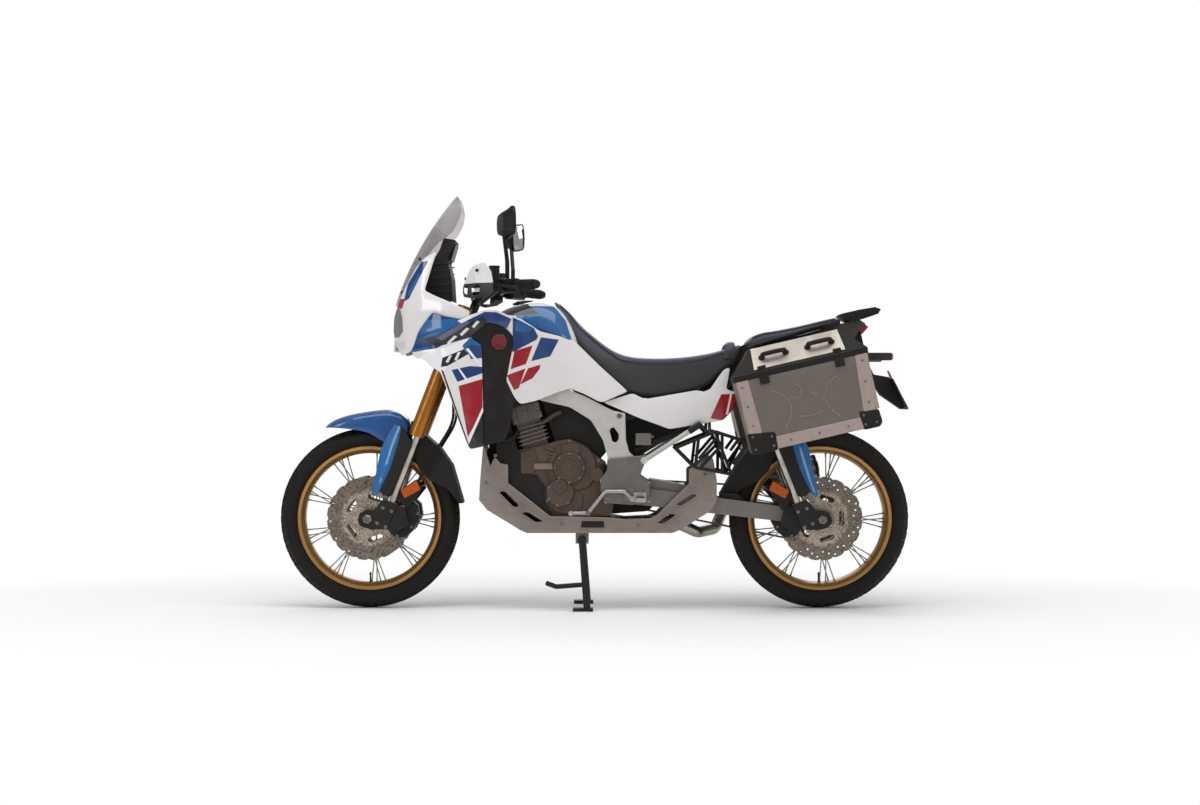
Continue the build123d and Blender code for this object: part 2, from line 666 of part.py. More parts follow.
# ---------------------------------------------------------------- main frame
spar_outline = [(-330, 955), (-300, 862), (-200, 775), (-90, 750), (-13, 702), (32, 628), (50, 561), (46, 517),
                (21, 480), (24, 443), (39, 396), (139, 390), (205, 400), (205, 473), (168, 499), (198, 573),
                (146, 569), (128, 584), (116, 628), (113, 727), (65, 738), (-35, 790), (-90, 812), (-240, 900)]
spar_window = [(54, 672), (72, 676), (91, 650), (91, 624), (80, 617), (65, 624)]
spar_centre = (spar_inner + spar_outer) / 2
stay_radius = 9.0
socket_wall = 3.0
cover_half = spar_outer
stay_half = cover_half + 2 * seat_gap + stay_radius + socket_wall
stay_foot = Vector(183, -stay_half, 554)
stay_top = Vector(386, -stay_half, 685)
with BuildPart() as main_frame:
    slab(spar_outline, spar_inner, spar_outer)
    slab(spar_window, spar_inner, spar_outer, mode=Mode.SUBTRACT)
    beam((-486, -8, 1003), (-306, -spar_centre, 912), 32, 62)
    rod((-387, -138, 863.5), (-387, -86, 946), 6)
    cross_rod(stay_foot.X, stay_foot.Z, spar_outer - 6, stay_half + stay_radius, 13)
    rod(stay_foot, stay_top, stay_radius)
    mirror(about=Plane.XZ)
    rod(fork_point(head_lead, 0, head_tube_low), fork_point(head_lead, 0, head_tube_high), head_tube_radius)
    rod(fork_point(head_lead, 0, head_tube_low - 5), fork_point(head_lead, 0, head_tube_high + 5),
        stem_radius + running_gap, mode=Mode.SUBTRACT)
    cross_rod(arm_pivot_x, arm_pivot_z, -spar_inner - 4, spar_inner + 4, 12)
    cross_rod(86, 700, -spar_inner - 4, spar_inner + 4, 15)
save(main_frame.part, "main_frame")

# ---------------------------------------------------------------- engine
crank_half = 112.0
case_outline = [(-196, 606), (-279, 591), (-277, 499), (-223, 495), (-186, 455), (-182, 400), (-160, 346), (-30, 346), (-30, 600), (-90, 632),
                (-142, 624)]
gearbox_outline = [(-31, 346), (62, 346), (70, 380), (70, 480), (40, 545), (20, 560), (-31, 600)]
with BuildPart() as crankcase:
    slab(case_outline, -crank_half, crank_half)
    slab(gearbox_outline, -74, crank_half)
    cross_rod(front_sprocket_x, front_sprocket_z, -chain_line - 4, -60, front_sprocket_radius)
    cross_rod(8, 500, crank_half - 20, spar_inner - seat_gap, 24)
    cross_rod(0, 560, seat_gap - spar_inner, -70, 20)
save(crankcase.part, "crankcase")

with BuildPart() as engine_covers:
    for x, z, radius, depth in ((-93, 525, 60, 30), (-127, 432, 52, 24)):
        cross_rod(x, z, crank_half + seat_gap, crank_half + depth, radius)
    for x, z, radius, depth in ((-93, 525, 44, 38), (-127, 459, 25, 32)):
        cross_rod(x, z, crank_half + seat_gap, crank_half + depth, radius)
    mirror(about=Plane.XZ)
save(engine_covers.part, "engine_covers")

# one cylinder block with its head, leaning forward, with cooling fins
block_foot = Vector(-206, 0, 606)
block_axis = Vector(-0.30, 0, 1).normalized()
block_plane = Plane(block_foot, x_dir=(block_axis.Z, 0, -block_axis.X), z_dir=block_axis)
fin_pitch = 15.0
foot_depth = 30.0  # how far the block reaches down round the case's slope
with BuildPart() as cylinders:
    with BuildSketch(block_plane.offset(-foot_depth)) as foot:
        with Locations((-12, 0)):
            Rectangle(92, 190)
    extrude(foot.sketch, amount=190 + foot_depth)
    for level in range(5):
        with BuildSketch(block_plane.offset(18 + level * fin_pitch)) as fin:
            with Locations((-12, 0)):
                RectangleRounded(118, 222, 18)
        extrude(fin.sketch, amount=5)
    rod((-215, -90, 684), (-128, -104, 731), 8)
    with BuildSketch(block_plane.offset(100)) as cover:
        with Locations((-12, 0)):
            RectangleRounded(112, 212, 14)
    extrude(cover.sketch, amount=62)
    slab([(x, z + seat_gap) for x, z in case_outline], -crank_half - 60, crank_half + 60, mode=Mode.SUBTRACT)
save(cylinders.part, "cylinders")

# air box behind the cylinders, under the tank, with the throttle bodies in one block
airbox_half = 80.0
airbox_outline = [(-150, 636), (-206, 808), (-150, 836), (-60, 790), (62, 744), (64, 690), (44, 640), (46, 585),
                  (20, 555), (-30, 585), (-90, 615), (-142, 612)]
with BuildPart() as airbox:
    slab(airbox_outline, -airbox_half, airbox_half)
    for outline in (case_outline, gearbox_outline):
        slab([(x, z + seat_gap) for x, z in outline], -crank_half - 1, crank_half + 1, mode=Mode.SUBTRACT)
    cross_rod(0, 560, -crank_half, -60, 24, mode=Mode.SUBTRACT)
save(airbox.part, "airbox")

# dark splash shields in front of the engine, on the crankcase's sides
shield_outline = [(-362, 800), (-336, 772), (-284, 594), (-268, 586), (-266, 510), (-214, 500), (-184, 458), (-184, 400),
                  (-152, 352), (-176, 346), (-330, 446), (-362, 486)]
with BuildPart() as engine_shields:
    slab(shield_outline, crank_half + seat_gap, crank_half + seat_gap + 5)
    mirror(about=Plane.XZ)
save(engine_shields.part, "engine_shields")

with BuildPart() as radiator:
    block((-406, -126, 630), (-368, 126, 850))
    with Locations(*[Location((-406, 0, 642 + 12 * row)) for row in range(17)]):
        Box(8, 220, 6, mode=Mode.SUBTRACT)
    block((-410, 126, 622), (-364, 150, 860))
    block((-410, -150, 622), (-364, -126, 860))
save(radiator.part, "radiator")

# ---------------------------------------------------------------- exhaust, on the right
pipe_radius = 22.0
silencer_radius = 48.0
silencer_side = 236.0
port = block_plane.from_local_coords(Vector(-68 - seat_gap, 0, 130))
header_x = port.X - 25
with BuildPart() as exhaust:
    rod(port, (header_x, 0, port.Z - 7.5), pipe_radius - 2)
    bent_tube([(header_x, 0, port.Z + 10), (header_x, 0, 430), (-230, 30, 318), (300, 60, 318), (390, 90, 276),
               (460, 170, 286), (520, silencer_side, 420), (570, silencer_side, 470)], 40, pipe_radius)
    rod((545, silencer_side, 450), (850, silencer_side, 520), silencer_radius)
save(exhaust.part, "exhaust")

# ---------------------------------------------------------------- skid plate and centre stand lugs
skid_hull = [(-411, 609), (-422, 480), (-426, 407), (-396, 370), (-274, 296), (-249, skid_floor), (286, skid_floor),
             (316, 296), (434, 370), (452, 407), (452, 480), (441, 547), (434, 569)]
skid_edge = [(352, 517), (352, 466), (231, 348), (205, 337), (113, 333), (65, 340), (-164, 344), (-322, 469),
             (-322, 536), (-348, 539), (-367, 561), (-385, 525)]
skid_slots = [[(-352, 436), (-332, 440), (-276, 386), (-296, 380)], [(-270, 360), (-246, 362), (-190, 328), (-216, 325)],
              [(301, 390), (320, 386), (379, 424), (360, 430)], [(232, 322), (256, 320), (300, 352), (276, 356)]]
stand_lug_inner = 80.0
stand_lug_thickness = 12.0
stand_lug_outer = stand_lug_inner + stand_lug_thickness
with BuildPart() as skid_plate:
    slab(skid_hull + skid_edge, -skid_half, skid_half)
    with BuildSketch(side_plane(skid_wall - skid_half)) as inside:
        with BuildLine():
            Polyline(*skid_hull, close=True)
        make_face()
        offset(amount=-skid_wall, kind=Kind.INTERSECTION)
    extrude(inside.sketch, amount=2 * (skid_half - skid_wall), mode=Mode.SUBTRACT)
    block((284, -arm_outer, skid_floor - 5), (470, arm_outer, 620), mode=Mode.SUBTRACT)
    for slot in skid_slots:
        slab(slot, -skid_half - 1, skid_half + 1, mode=Mode.SUBTRACT)
    for side in (-1, 1):
        near = min(side * stand_lug_inner, side * stand_lug_outer)
        block((stand_x - 24, near, stand_z - 14), (stand_x + 24, near + stand_lug_thickness, skid_floor + 1))
    cross_rod(stand_x, stand_z, -stand_lug_outer - 1, stand_lug_outer + 1, stand_pin_radius + running_gap,
              mode=Mode.SUBTRACT)
save(skid_plate.part, "skid_plate")

stand_brace_z = 96.0
with BuildPart() as centre_stand:
    rod(stand_pivot - Vector(0, stand_half_top + 14, 0), stand_pivot, stand_pin_radius)
    rod(stand_pivot - Vector(0, stand_lug_inner - 2, 0), stand_pivot, stand_leg_radius + 2)
    rod(stand_pivot - Vector(0, stand_half_top + 14, 0), stand_pivot - Vector(0, stand_lug_outer + 2, 0),
        stand_leg_radius + 3)
    rod((stand_x, -stand_half_top, stand_z), (stand_foot_x, -stand_half_foot, 10), stand_leg_radius)
    block((stand_foot_x - 52, -stand_half_foot - 24, 0), (stand_foot_x + 22, 24 - stand_half_foot, 12))
    mirror(about=Plane.XZ)
    brace_half = stand_half_foot - (stand_half_foot - stand_half_top) * stand_brace_z / stand_z
    cross_rod(stand_foot_x - 7, stand_brace_z, -brace_half, brace_half, 10)
    rod((stand_foot_x - 7, -brace_half, stand_brace_z), (-140, -brace_half - 26, 90), 9)
    rod((-140, -brace_half - 26, 90), (-176, -brace_half - 40, 104), 9)
save(centre_stand.part, "centre_stand")

# ---------------------------------------------------------------- subframe, stays and foot controls
cover_inner = cover_half - panel_thickness
rail_start = (86 + (15 + seat_gap) * 0.9735, 700 + (15 + seat_gap) * 0.2286)
rail_loop_half = case_inner - seat_gap - rack_tube_radius


# lattice panel under each side cover: outline loop, then slats, as (x, z) points
lattice_half = stay_half
lattice_loop = [(300, 600), (371, 528), (504, 503), (562, 622), (445, 660), (300, 600)]
lattice_slats = [((371, 528), (384, 640)), ((384, 560), (452, 640)), ((392, 530), (468, 610)), ((470, 512), (470, 650)),
                 ((504, 503), (445, 655)), ((500, 590), (530, 632)), ((508, 540), (552, 600))]
lattice_radius = 6.0
inner_stay = spar_inner - seat_gap - 11  # centre of the stay that runs inside the spar
stay_run = (stay_top - stay_foot).normalized()


def case_point(along, up, half):
    return case_plane.from_local_coords(Vector(along, up, half))


with BuildPart() as subframe:
    for (x0, z0), (x1, z1) in list(zip(lattice_loop, lattice_loop[1:])) + lattice_slats:
        rod((x0, -lattice_half, z0), (x1, -lattice_half, z1), lattice_radius)
    rod(stay_top - stay_run * 46, stay_top + stay_run * 8, stay_radius + socket_wall)
    rod((390, -lattice_half, 686), (424, -lattice_half, 650), lattice_radius)
    rod((424, -lattice_half, 652), (424, -inner_stay, 735), lattice_radius)
    rod(stay_foot, stay_top + stay_run * 0.3, stay_radius + running_gap, mode=Mode.SUBTRACT)
    bent_tube([(rail_start[0], -subframe_half, rail_start[1]), (350, -subframe_half, 762), (520, -subframe_half, 853),
               (900, -subframe_half, 966)], 120, rail_radius)
    bent_tube([(150, -inner_stay, 590), (380, -inner_stay, 682), (520, -inner_stay, 845)], 60, 11)
    cross_rod(330, 752, subframe_half, cover_inner - seat_gap, 9)
    leg_slab(strut_plane, [(axle_lead - 24, rear_leg_top + seat_gap), (axle_lead + 24, rear_leg_top + seat_gap),
                           (axle_lead + 24, rear_leg_top + 22), (axle_lead - 24, rear_leg_top + 22)],
             subframe_half - 8, rear_leg_half + 26)
    loop_corners = [case_point(along, up, rail_loop_half) for along, up in
                    ((120, 60), (430, 60), (430, 250), (30, 250), (30, 60), (120, 60))]
    for start, end in zip(loop_corners, loop_corners[1:]):
        rod(start, end, rack_tube_radius)
    with Locations(*[Location(tuple(corner)) for corner in loop_corners[1:5]]):
        Sphere(rack_tube_radius)
    for along in (110, 390):
        foot = case_point(along, 250, rail_loop_half)
        rod(foot, (foot.X, -subframe_half, 853 + (foot.X - 520) * 0.2974), rack_tube_radius)
    mirror(about=Plane.XZ)
    for x, z in ((350, 762), (620, 883), (880, 960)):
        cross_rod(x, z, -subframe_half, subframe_half, 10)
save(subframe.part, "subframe")

lever_half = 176.0
with BuildPart() as foot_controls:
    bent_tube([(-86, -lever_half, 360), (-24, -lever_half, 360), (40, -lever_half, 440), (110, -lever_half, 440),
               (140, -lever_half, 412)], 16, 7)
    rod((-86, -lever_half, 360), (-86, -lever_half - 34, 360), 9)
    cross_rod(140, 412, spar_outer + seat_gap, lever_half + 7, 10)
    block((153, -246, 404), (186, -lever_half - 4, 418))
    block((144, -lever_half - 5, 400), (190, -spar_outer - seat_gap, 436))
    mirror(about=Plane.XZ)
save(foot_controls.part, "foot_controls")

# ---------------------------------------------------------------- tank and seats
# stations: x, low edge, shoulder height, top, half width at the shoulder, half width at the top
tank_stations = [(-372, 996, 1016, 1088, 124, 60), (-300, 950, 1020, 1125, 165, 95), (-200, 877.4, 1010, 1146, 165, 100),
                 (-120, 830.8, 990, 1112, 150, 85), (-90, 816.4, 966, 1079, 138, 80), (-50, 797.1, 930, 1000, 118, 70)]
with BuildPart() as tank:
    for x, low, shoulder, top, half, top_half in tank_stations:
        with BuildSketch(Plane((x, 0, 0), x_dir=(0, 1, 0), z_dir=(1, 0, 0))):
            with BuildLine():
                Polyline((-half, low), (half, low), (half, shoulder), (top_half, top), (-top_half, top),
                         (-half, shoulder), close=True)
            make_face()
    loft(ruled=True)
save(tank.part, "tank")

seat_outline = [(-49.7, 1035), (-9, 1012), (21, 986), (65, 953), (102, 934), (242, 925), (390, 938), (486, 960),
                (551, 981), (512, 901), (472, 883), (449, 857), (409, 812), (353, 812), (345, 775.2), (150, 729.4),
                (139, 801), (32, 880), (-49.7, 960)]
seat_nose = [(-40, 1030), (-53, 1048), (-90, 1096), (-127, 1130), (-160, 1142), (-160, 1129.7), (-120, 1112.6),
             (-89.6, 1079.6), (-49.7, 1000.9), (-40, 1000.9)]
seat_nose_half = 62.0
with BuildPart() as rider_seat:
    slab(seat_outline, -seat_half, seat_half)
    slab(seat_nose, -seat_nose_half, seat_nose_half)
save(rider_seat.part, "rider_seat")

pillion_outline = [(556, 984), (582, 1008), (612, 1023), (667, 1027), (760, 1045), (834, 1064), (905, 1080),
                   (930, 1066), (760, 1016), (574, 967)]
with BuildPart() as pillion_seat:
    slab(pillion_outline, -120, 120)
save(pillion_seat.part, "pillion_seat")

# ---------------------------------------------------------------- body panels, as (x, z) side outlines
knee_plan = [(-330, 240), (-250, 210), (-120, 176), (0, 170), (130, 168)]  # (x, half)
wing_plan = [(-760, 40), (-744, 66), (-700, 130), (-640, 182), (-560, 214), (-450, 238), (-330, 240), (-250, 210)]
nose_outline = [(-738, 977), (-749, 1032), (-746, 1083), (-724, 1146), (-694, 1204), (-658, 1267), (-625, 1303),
                (-581, 1325), (-595, 1281), (-625, 1179), (-581, 1157), (-529, 1135), (-482, 1113), (-456, 1102),
                (-454, 1086), (-487, 1071), (-546, 1082), (-593, 1097), (-623, 1060), (-648, 1024), (-666, 976),
                (-677, 954), (-713, 940)]
upper_outline = [(-593, 1097), (-546, 1082), (-487, 1071), (-454, 1086), (-403, 1104), (-356, 1104), (-301, 1080),
                 (-319, 1036), (-356, 1053), (-392, 1060), (-454, 1005), (-509, 984), (-553, 969), (-677, 954),
                 (-666, 976), (-648, 1024), (-623, 1060)]
lower_outline = [(-677, 954), (-655, 929), (-630, 929), (-601, 900), (-564, 878), (-517, 757), (-465, 618),
                 (-454, 596), (-403, 607), (-411, 976), (-454, 1005), (-509, 984), (-553, 969)]
shroud_outline = [(-454, 1005), (-392, 1060), (-356, 1053), (-319, 1036), (-297, 1009), (-297, 976), (-308, 921),
                  (-322, 848), (-293, 786), (-299, 720), (-310, 666), (-326, 629), (-403, 607), (-411, 976)]
knee_outline = [(-301, 1080), (-273, 1076), (-199, 1028), (-126, 1010), (-64, 984), (21, 900), (123, 808), (32, 768),
                (13, 772), (-34, 797), (-89, 819), (-126, 808), (-181, 786), (-218, 772), (-271, 761), (-293, 786),
                (-322, 848), (-308, 921), (-297, 976), (-297, 1009), (-319, 1036)]
cover_outline = [(32, 768), (141, 801), (185, 779), (376, 812), (398, 805), (427, 816), (453, 856), (478, 889),
                 (500, 896), (493, 852), (486, 816), (541, 797), (515, 746), (475, 702), (387, 687), (277, 669),
                 (167, 709)]
lamp_plan = [(-748, 0), (-748, 34), (-742, 66), (-704, 120), (-684, 104), (-684, 0)]  # (x, half)
lamp_low = 956.0
lamp_high = 1062.0
stay_bar_half = 150.0
nose_narrowing = [(930, 1.0), (1110, 1.0), (1340, 0.7)]  # (height, share of the plan curve's half width)
with BuildPart() as nose_cowl:
    slab([(-744, 1064), (-740, 1083), (-718, 1120), (-702, 1150), (-668, 1150), (-668, 1064)], 0, 130)
    plan_slab([(x, -half) for x, half in lamp_plan[:4]] + [(-668, -120), (-668, 0)], 1060, 1200, mode=Mode.INTERSECT)
    panel(nose_outline, wing_plan, panel_thickness, nose_narrowing)
    block((-770, -122, lamp_low - 20), (-683, 0, lamp_high + seat_gap), mode=Mode.SUBTRACT)
    cross_rod(-652, 1075, stay_bar_half + seat_gap, 161, 9)
    mirror(about=Plane.XZ)
save(nose_cowl.part, "nose_cowl")

with BuildPart() as headlamp:
    plan_slab([(x, -half) for x, half in lamp_plan], lamp_low, lamp_high)
    mirror(about=Plane.XZ)
save(headlamp.part, "headlamp")

for name, outline, plan in (("upper_fairings", upper_outline, wing_plan), ("lower_fairings", lower_outline, wing_plan),
                            ("radiator_shrouds", shroud_outline, wing_plan), ("knee_panels", knee_outline, knee_plan),
                            ("side_covers", cover_outline, [(20, cover_half), (560, cover_half)])):
    with BuildPart() as body_panel:
        panel(outline, plan, panel_thickness)
        mirror(about=Plane.XZ)
    save(body_panel.part, name)

# ---------------------------------------------------------------- screen and dash
screen_foot = Vector(-763, 0, 1068)
screen_belly = Vector(-673, 0, 1308)
screen_top = Vector(-523, 0, 1533)
screen_half = 165.0
screen_sag = 105.0
screen_thickness = 4.0
screen_edge = [(45, 62), (62, 88), (96, 153), (114, 224), (124, 295), (130, 335), (148, 372), (150, 430), (132, 490),
               (70, 530)]  # (half, along the chord)
screen_chord = screen_top - screen_foot
with BuildLine() as screen_line:
    ThreePointArc(tuple(screen_foot), tuple(screen_belly), tuple(screen_top))


def screen_plane(share):
    """Across the screen's middle line, its local y to the front."""
    return Plane(screen_line.line @ share, x_dir=(0, 1, 0), z_dir=screen_line.line % share)


with BuildPart() as windscreen:
    with BuildSketch(screen_plane(0)) as bow:
        with BuildLine():
            ThreePointArc((-screen_half, -screen_sag), (0, 0), (screen_half, -screen_sag))
            Line((screen_half, -screen_sag), (screen_half, -screen_sag - screen_thickness))
            ThreePointArc((screen_half, -screen_sag - screen_thickness), (0, -screen_thickness),
                          (-screen_half, -screen_sag - screen_thickness))
            Line((-screen_half, -screen_sag - screen_thickness), (-screen_half, -screen_sag))
        make_face()
    sweep(bow.sketch, path=screen_line.line)
    with BuildSketch(Plane(screen_foot, x_dir=(0, 1, 0), z_dir=Vector(0, 1, 0).cross(screen_chord))) as front_view:
        with BuildLine():
            Polyline(*screen_edge, *[(-half, up) for half, up in reversed(screen_edge)], close=True)
        make_face()
    extrude(front_view.sketch, amount=160, both=True, mode=Mode.INTERSECT)
save(windscreen.part, "windscreen")

dash_outline = [(-628, 1190), (-600, 1290), (-573, 1332), (-558, 1376), (-516, 1369), (-523, 1344), (-546, 1302),
                (-529, 1229), (-524, 1142), (-560, 1136), (-606, 1142), (-624, 1170)]
# the dash stands on a stay that runs forward from the steering head and carries the cowl and the screen too
stay_bar = Vector(-652, 0, 1075)
screen_pad = screen_plane(0.29)
turning_radius = 154.0  # round the steering axis, over the tops of the legs
with BuildPart() as dash:
    slab(dash_outline, -118, 118)
    rod(fork_point(head_lead, 0, 700), fork_point(head_lead, 0, front_leg_top + 5), turning_radius, mode=Mode.SUBTRACT)
    rod(fork_point(head_lead - head_tube_radius + 10, 0, 752), stay_bar, 15)
    rod(fork_point(head_lead, 0, 700), fork_point(head_lead, 0, 800), head_tube_radius + seat_gap,
        mode=Mode.SUBTRACT)
    cross_rod(stay_bar.X, stay_bar.Z, -stay_bar_half, stay_bar_half, 9)
    for half in (-60, 60):
        rod(stay_bar + Vector(0, half, 0), (-600, half, 1195), 8)
        rod(screen_pad.from_local_coords(Vector(half, -16.8, 0)), (-611, half, 1163), 6)
save(dash.part, "dash")

# ---------------------------------------------------------------- tail, rack, lamps and plate holder
tail_half = subframe_half - rail_radius - 3
tail_outline = [(560, 876), (960, 994.4), (985, 1038), (1007, 1060), (985, 1075), (905, 1058.2), (760, 1015.6), (575, 966.6),
                (556, 966)]
rack_bolt_radius = 4.25
rack_bolt_half = 72.0
rack_bolt_x = (960.0, 1030.0)


def rack_holes(radius, low, high):
    """The four upright bolt holes of the rack."""
    for half in (-rack_bolt_half, rack_bolt_half):
        for x in rack_bolt_x:
            rod((x, half, low), (x, half, high), radius, mode=Mode.SUBTRACT)


with BuildPart() as tail_cowl:
    slab(tail_outline, -tail_half, tail_half)
    rack_holes(rack_bolt_radius + 1, 1030, 1090)
save(tail_cowl.part, "tail_cowl")

rack_outline = [(912, 1092), (985, 1109), (1044, 1120), (1063, 1113), (1052, 1096), (1012, 1082), (986, 1075.6),
                (950, 1068), (938, 1072)]
with BuildPart() as rear_rack:
    slab(rack_outline, -100, 100)
    rack_holes(rack_bolt_radius, 1060, 1130)
save(rear_rack.part, "rear_rack")

holder_outline = [(961.3, 994), (986, 1037.2), (997.5, 1021), (1007, 979), (1030, 900), (1044, 872), (1101, 862),
                  (1119, 832), (1160, 750), (1146, 742), (1071, 794), (1033, 850), (1004, 890), (980, 960)]
with BuildPart() as plate_holder:
    slab(holder_outline, -28, 28)
    slab([(1104, 855), (1162, 741), (1166, 743), (1108, 857)], -92, 92)
save(plate_holder.part, "plate_holder")

with BuildPart() as rear_lamps:
    slab([(986, 1038.5), (1008, 1060), (1022, 1049), (999, 1023)], 0, 46)
    cross_rod(1011, 934, 28 + seat_gap, 156, 7)
    block((1004, -186, 922), (1092, -148, 950))
    mirror(about=Plane.XZ)
save(rear_lamps.part, "rear_lamps")

# ---------------------------------------------------------------- side cases
# corners in the case's own side view: (along, up)
case_corners = [(0, 0), (case_length, 0), (case_length + 17, case_height), (-8, case_height)]
lid_low = case_height + seat_gap
lid_high = case_height + case_lid_height + 6
case_outer = case_inner + case_depth


def case_sketch(height, low_corner, high_corner):
    """A rectangle in plan at this height up the case; corners are (along, half)."""
    (x0, h0), (x1, h1) = low_corner, high_corner
    origin = case_point(0, height, 0)
    with BuildSketch(Plane(origin, x_dir=case_plane.x_dir, z_dir=case_plane.y_dir)) as section:
        with BuildLine():
            Polyline((x0, -h0), (x1, -h0), (x1, -h1), (x0, -h1), close=True)
        make_face()
    return section.sketch.face()


def frustum(low, low_corners, high, high_corners, mode=Mode.ADD):
    loft([case_sketch(low, *low_corners), case_sketch(high, *high_corners)], ruled=True, mode=mode)


def case_lid(side, name):
    with BuildPart() as piece:
        frustum(lid_low, ((-8, case_inner), (case_length + 17, case_outer)),
                lid_high, ((66, case_inner + 14), (case_length - 57, case_outer - 62)))
        frustum(lid_low - 1, ((case_wall - 8, case_inner + case_wall), (case_length + 17 - case_wall,
                                                                          case_outer - case_wall)),
                lid_high - case_wall, ((69, case_inner + 14 + case_wall), (case_length - 60, case_outer - 65)),
                mode=Mode.SUBTRACT)
        for middle in (150, 318):
            ends = [case_point(middle + offset, lid_low + 42, case_outer - 30) for offset in (-44, 44)]
            outs = [case_point(middle + offset, lid_low + 56, case_outer - 12) for offset in (-36, 36)]
            rod(ends[0], outs[0], 6)
            rod(outs[0], outs[1], 6)
            rod(outs[1], ends[1], 6)
        if side > 0:
            mirror(about=Plane.XZ)
            split(bisect_by=Plane.XZ, keep=Keep.BOTTOM)
    save(piece.part, name)


with BuildPart() as side_cases:
    frustum(0, ((0, case_inner), (case_length, case_outer)),
            case_height, ((-8, case_inner), (case_length + 17, case_outer)))
    frustum(case_wall, ((case_wall, case_inner + case_wall), (case_length - case_wall, case_outer - case_wall)),
            case_height + 1, ((case_wall - 8, case_inner + case_wall),
                              (case_length + 17 - case_wall, case_outer - case_wall)), mode=Mode.SUBTRACT)
    mirror(about=Plane.XZ)
save(side_cases.part, "side_cases")
case_lid(-1, "left_case_lid")
case_lid(1, "right_case_lid")
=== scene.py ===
"""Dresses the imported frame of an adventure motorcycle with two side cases: painted bodywork, seats,
wheels, engine, luggage and cockpit, on a pale studio floor.

Lengths in tables are millimetres in the frame's axes: x to the rear, y to the rider's right, z up.
Outlines are (x, z) points of the side view, plans are (x, half width) points.
"""

from math import atan2, cos, hypot, pi, radians, sin, sqrt

import bmesh
import bpy
import numpy as np
from bpy.props import FloatProperty, FloatVectorProperty, IntProperty, PointerProperty
from mathutils import Matrix, Vector
from mathutils.geometry import delaunay_2d_cdt


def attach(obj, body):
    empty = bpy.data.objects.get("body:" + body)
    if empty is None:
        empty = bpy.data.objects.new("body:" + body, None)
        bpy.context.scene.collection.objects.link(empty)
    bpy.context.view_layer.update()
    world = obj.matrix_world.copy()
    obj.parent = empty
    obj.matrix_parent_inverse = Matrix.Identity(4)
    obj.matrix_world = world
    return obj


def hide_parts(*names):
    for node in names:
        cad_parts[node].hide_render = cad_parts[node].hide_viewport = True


bl_info = {
    "name": "Adventure Motorcycle",
    "version": (1, 0, 0),
    "blender": (4, 5, 0),
    "location": "View3D > Sidebar > Motorcycle",
    "description": "Finished pieces, paint and studio for the adventure motorcycle frame",
    "category": "Object",
}

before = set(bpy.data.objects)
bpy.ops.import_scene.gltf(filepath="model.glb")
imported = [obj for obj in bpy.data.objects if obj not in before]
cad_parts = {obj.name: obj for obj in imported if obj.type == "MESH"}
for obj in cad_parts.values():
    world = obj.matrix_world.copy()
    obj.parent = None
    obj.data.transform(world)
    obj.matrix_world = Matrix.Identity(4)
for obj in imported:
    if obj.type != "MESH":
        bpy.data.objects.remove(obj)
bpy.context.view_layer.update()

MM = 0.001
SMOOTH_ANGLE = radians(35)
PATCH_EDGE = 0.7  # how far one block of paint fades into the next
BULGE_ROUNDS = 260
LEFT = (0, -1, 0)
FRONT_AXLE = Vector((-839.94, 0, 336))
REAR_AXLE = Vector((840, 0, 336))
RAKE = radians(21)  # of the fork, and of the rear struts the other way


# ---- settings
def srgb(red, green, blue):
    """A screen colour of 0 to 255 a channel, as a scene colour."""
    def channel(level):
        level /= 255
        return level / 12.92 if level <= 0.04045 else ((level + 0.055) / 1.055) ** 2.4
    return channel(red), channel(green), channel(blue)


def colour_setting(name, description, red, green, blue):
    return FloatVectorProperty(name=name, description=description, subtype="COLOR", size=3, min=0, max=1,
                               default=srgb(red, green, blue))


def length_setting(name, description, millimetres):
    return FloatProperty(name=name, description=description, unit="LENGTH", default=millimetres * MM, min=0)


class MotorcycleColours(bpy.types.PropertyGroup):
    white: colour_setting("White", "Main body paint", 222, 219, 218)
    blue: colour_setting("Blue", "Deep blue of the body paint", 12, 54, 112)
    sky: colour_setting("Sky blue", "Lighter blue of the stripes and guards", 20, 92, 150)
    slate: colour_setting("Slate", "Grey-blue of the fairing band", 88, 92, 118)
    red: colour_setting("Red", "Red blocks of the body paint", 150, 6, 26)
    gold: colour_setting("Gold", "Anodised rims", 178, 136, 80)
    amber: colour_setting("Amber", "Anodised fork tubes", 160, 106, 44)
    silver: colour_setting("Silver", "Painted frame", 186, 183, 178)
    guard: colour_setting("Guard metal", "Skid plate", 136, 126, 118)
    bronze: colour_setting("Bronze", "Engine paint", 84, 70, 58)
    case_metal: colour_setting("Case metal", "Side case walls", 122, 114, 106)
    trim_metal: colour_setting("Trim metal", "Side case corner strips", 172, 156, 148)
    seat_top: colour_setting("Seat top", "Vinyl on top of the seats", 48, 52, 82)
    seat_side: colour_setting("Seat side", "Vinyl on the seats' flanks", 43, 43, 48)


class MotorcycleSizes(bpy.types.PropertyGroup):
    tread_depth: length_setting("Tread depth", "Height of the tread blocks", 5.0)
    tread_rows: IntProperty(name="Tread rows", description="Rows of tread blocks round a tyre", default=56, min=8)
    skin: length_setting("Panel skin", "Thickness of the painted panels", 4.0)
    bolt: length_setting("Bolt head", "Radius of a body bolt's head", 6.5)
    chain_pitch: length_setting("Chain pitch", "Distance between two chain pins", 15.9)


def rgba(shade):
    """A scene colour from a colour setting's name, or from red, green and blue of 0 to 255."""
    if isinstance(shade, str):
        return (*getattr(bpy.context.scene.motorcycle_colours, shade), 1.0)
    return shade if len(shade) == 4 else (*srgb(*shade), 1.0)


def tone(shade, factor):
    """A lighter or darker colour."""
    return (*[min(1.0, channel * factor) for channel in rgba(shade)[:3]], 1.0)


def size(name):
    """A size setting in millimetres."""
    return getattr(bpy.context.scene.motorcycle_sizes, name) / MM


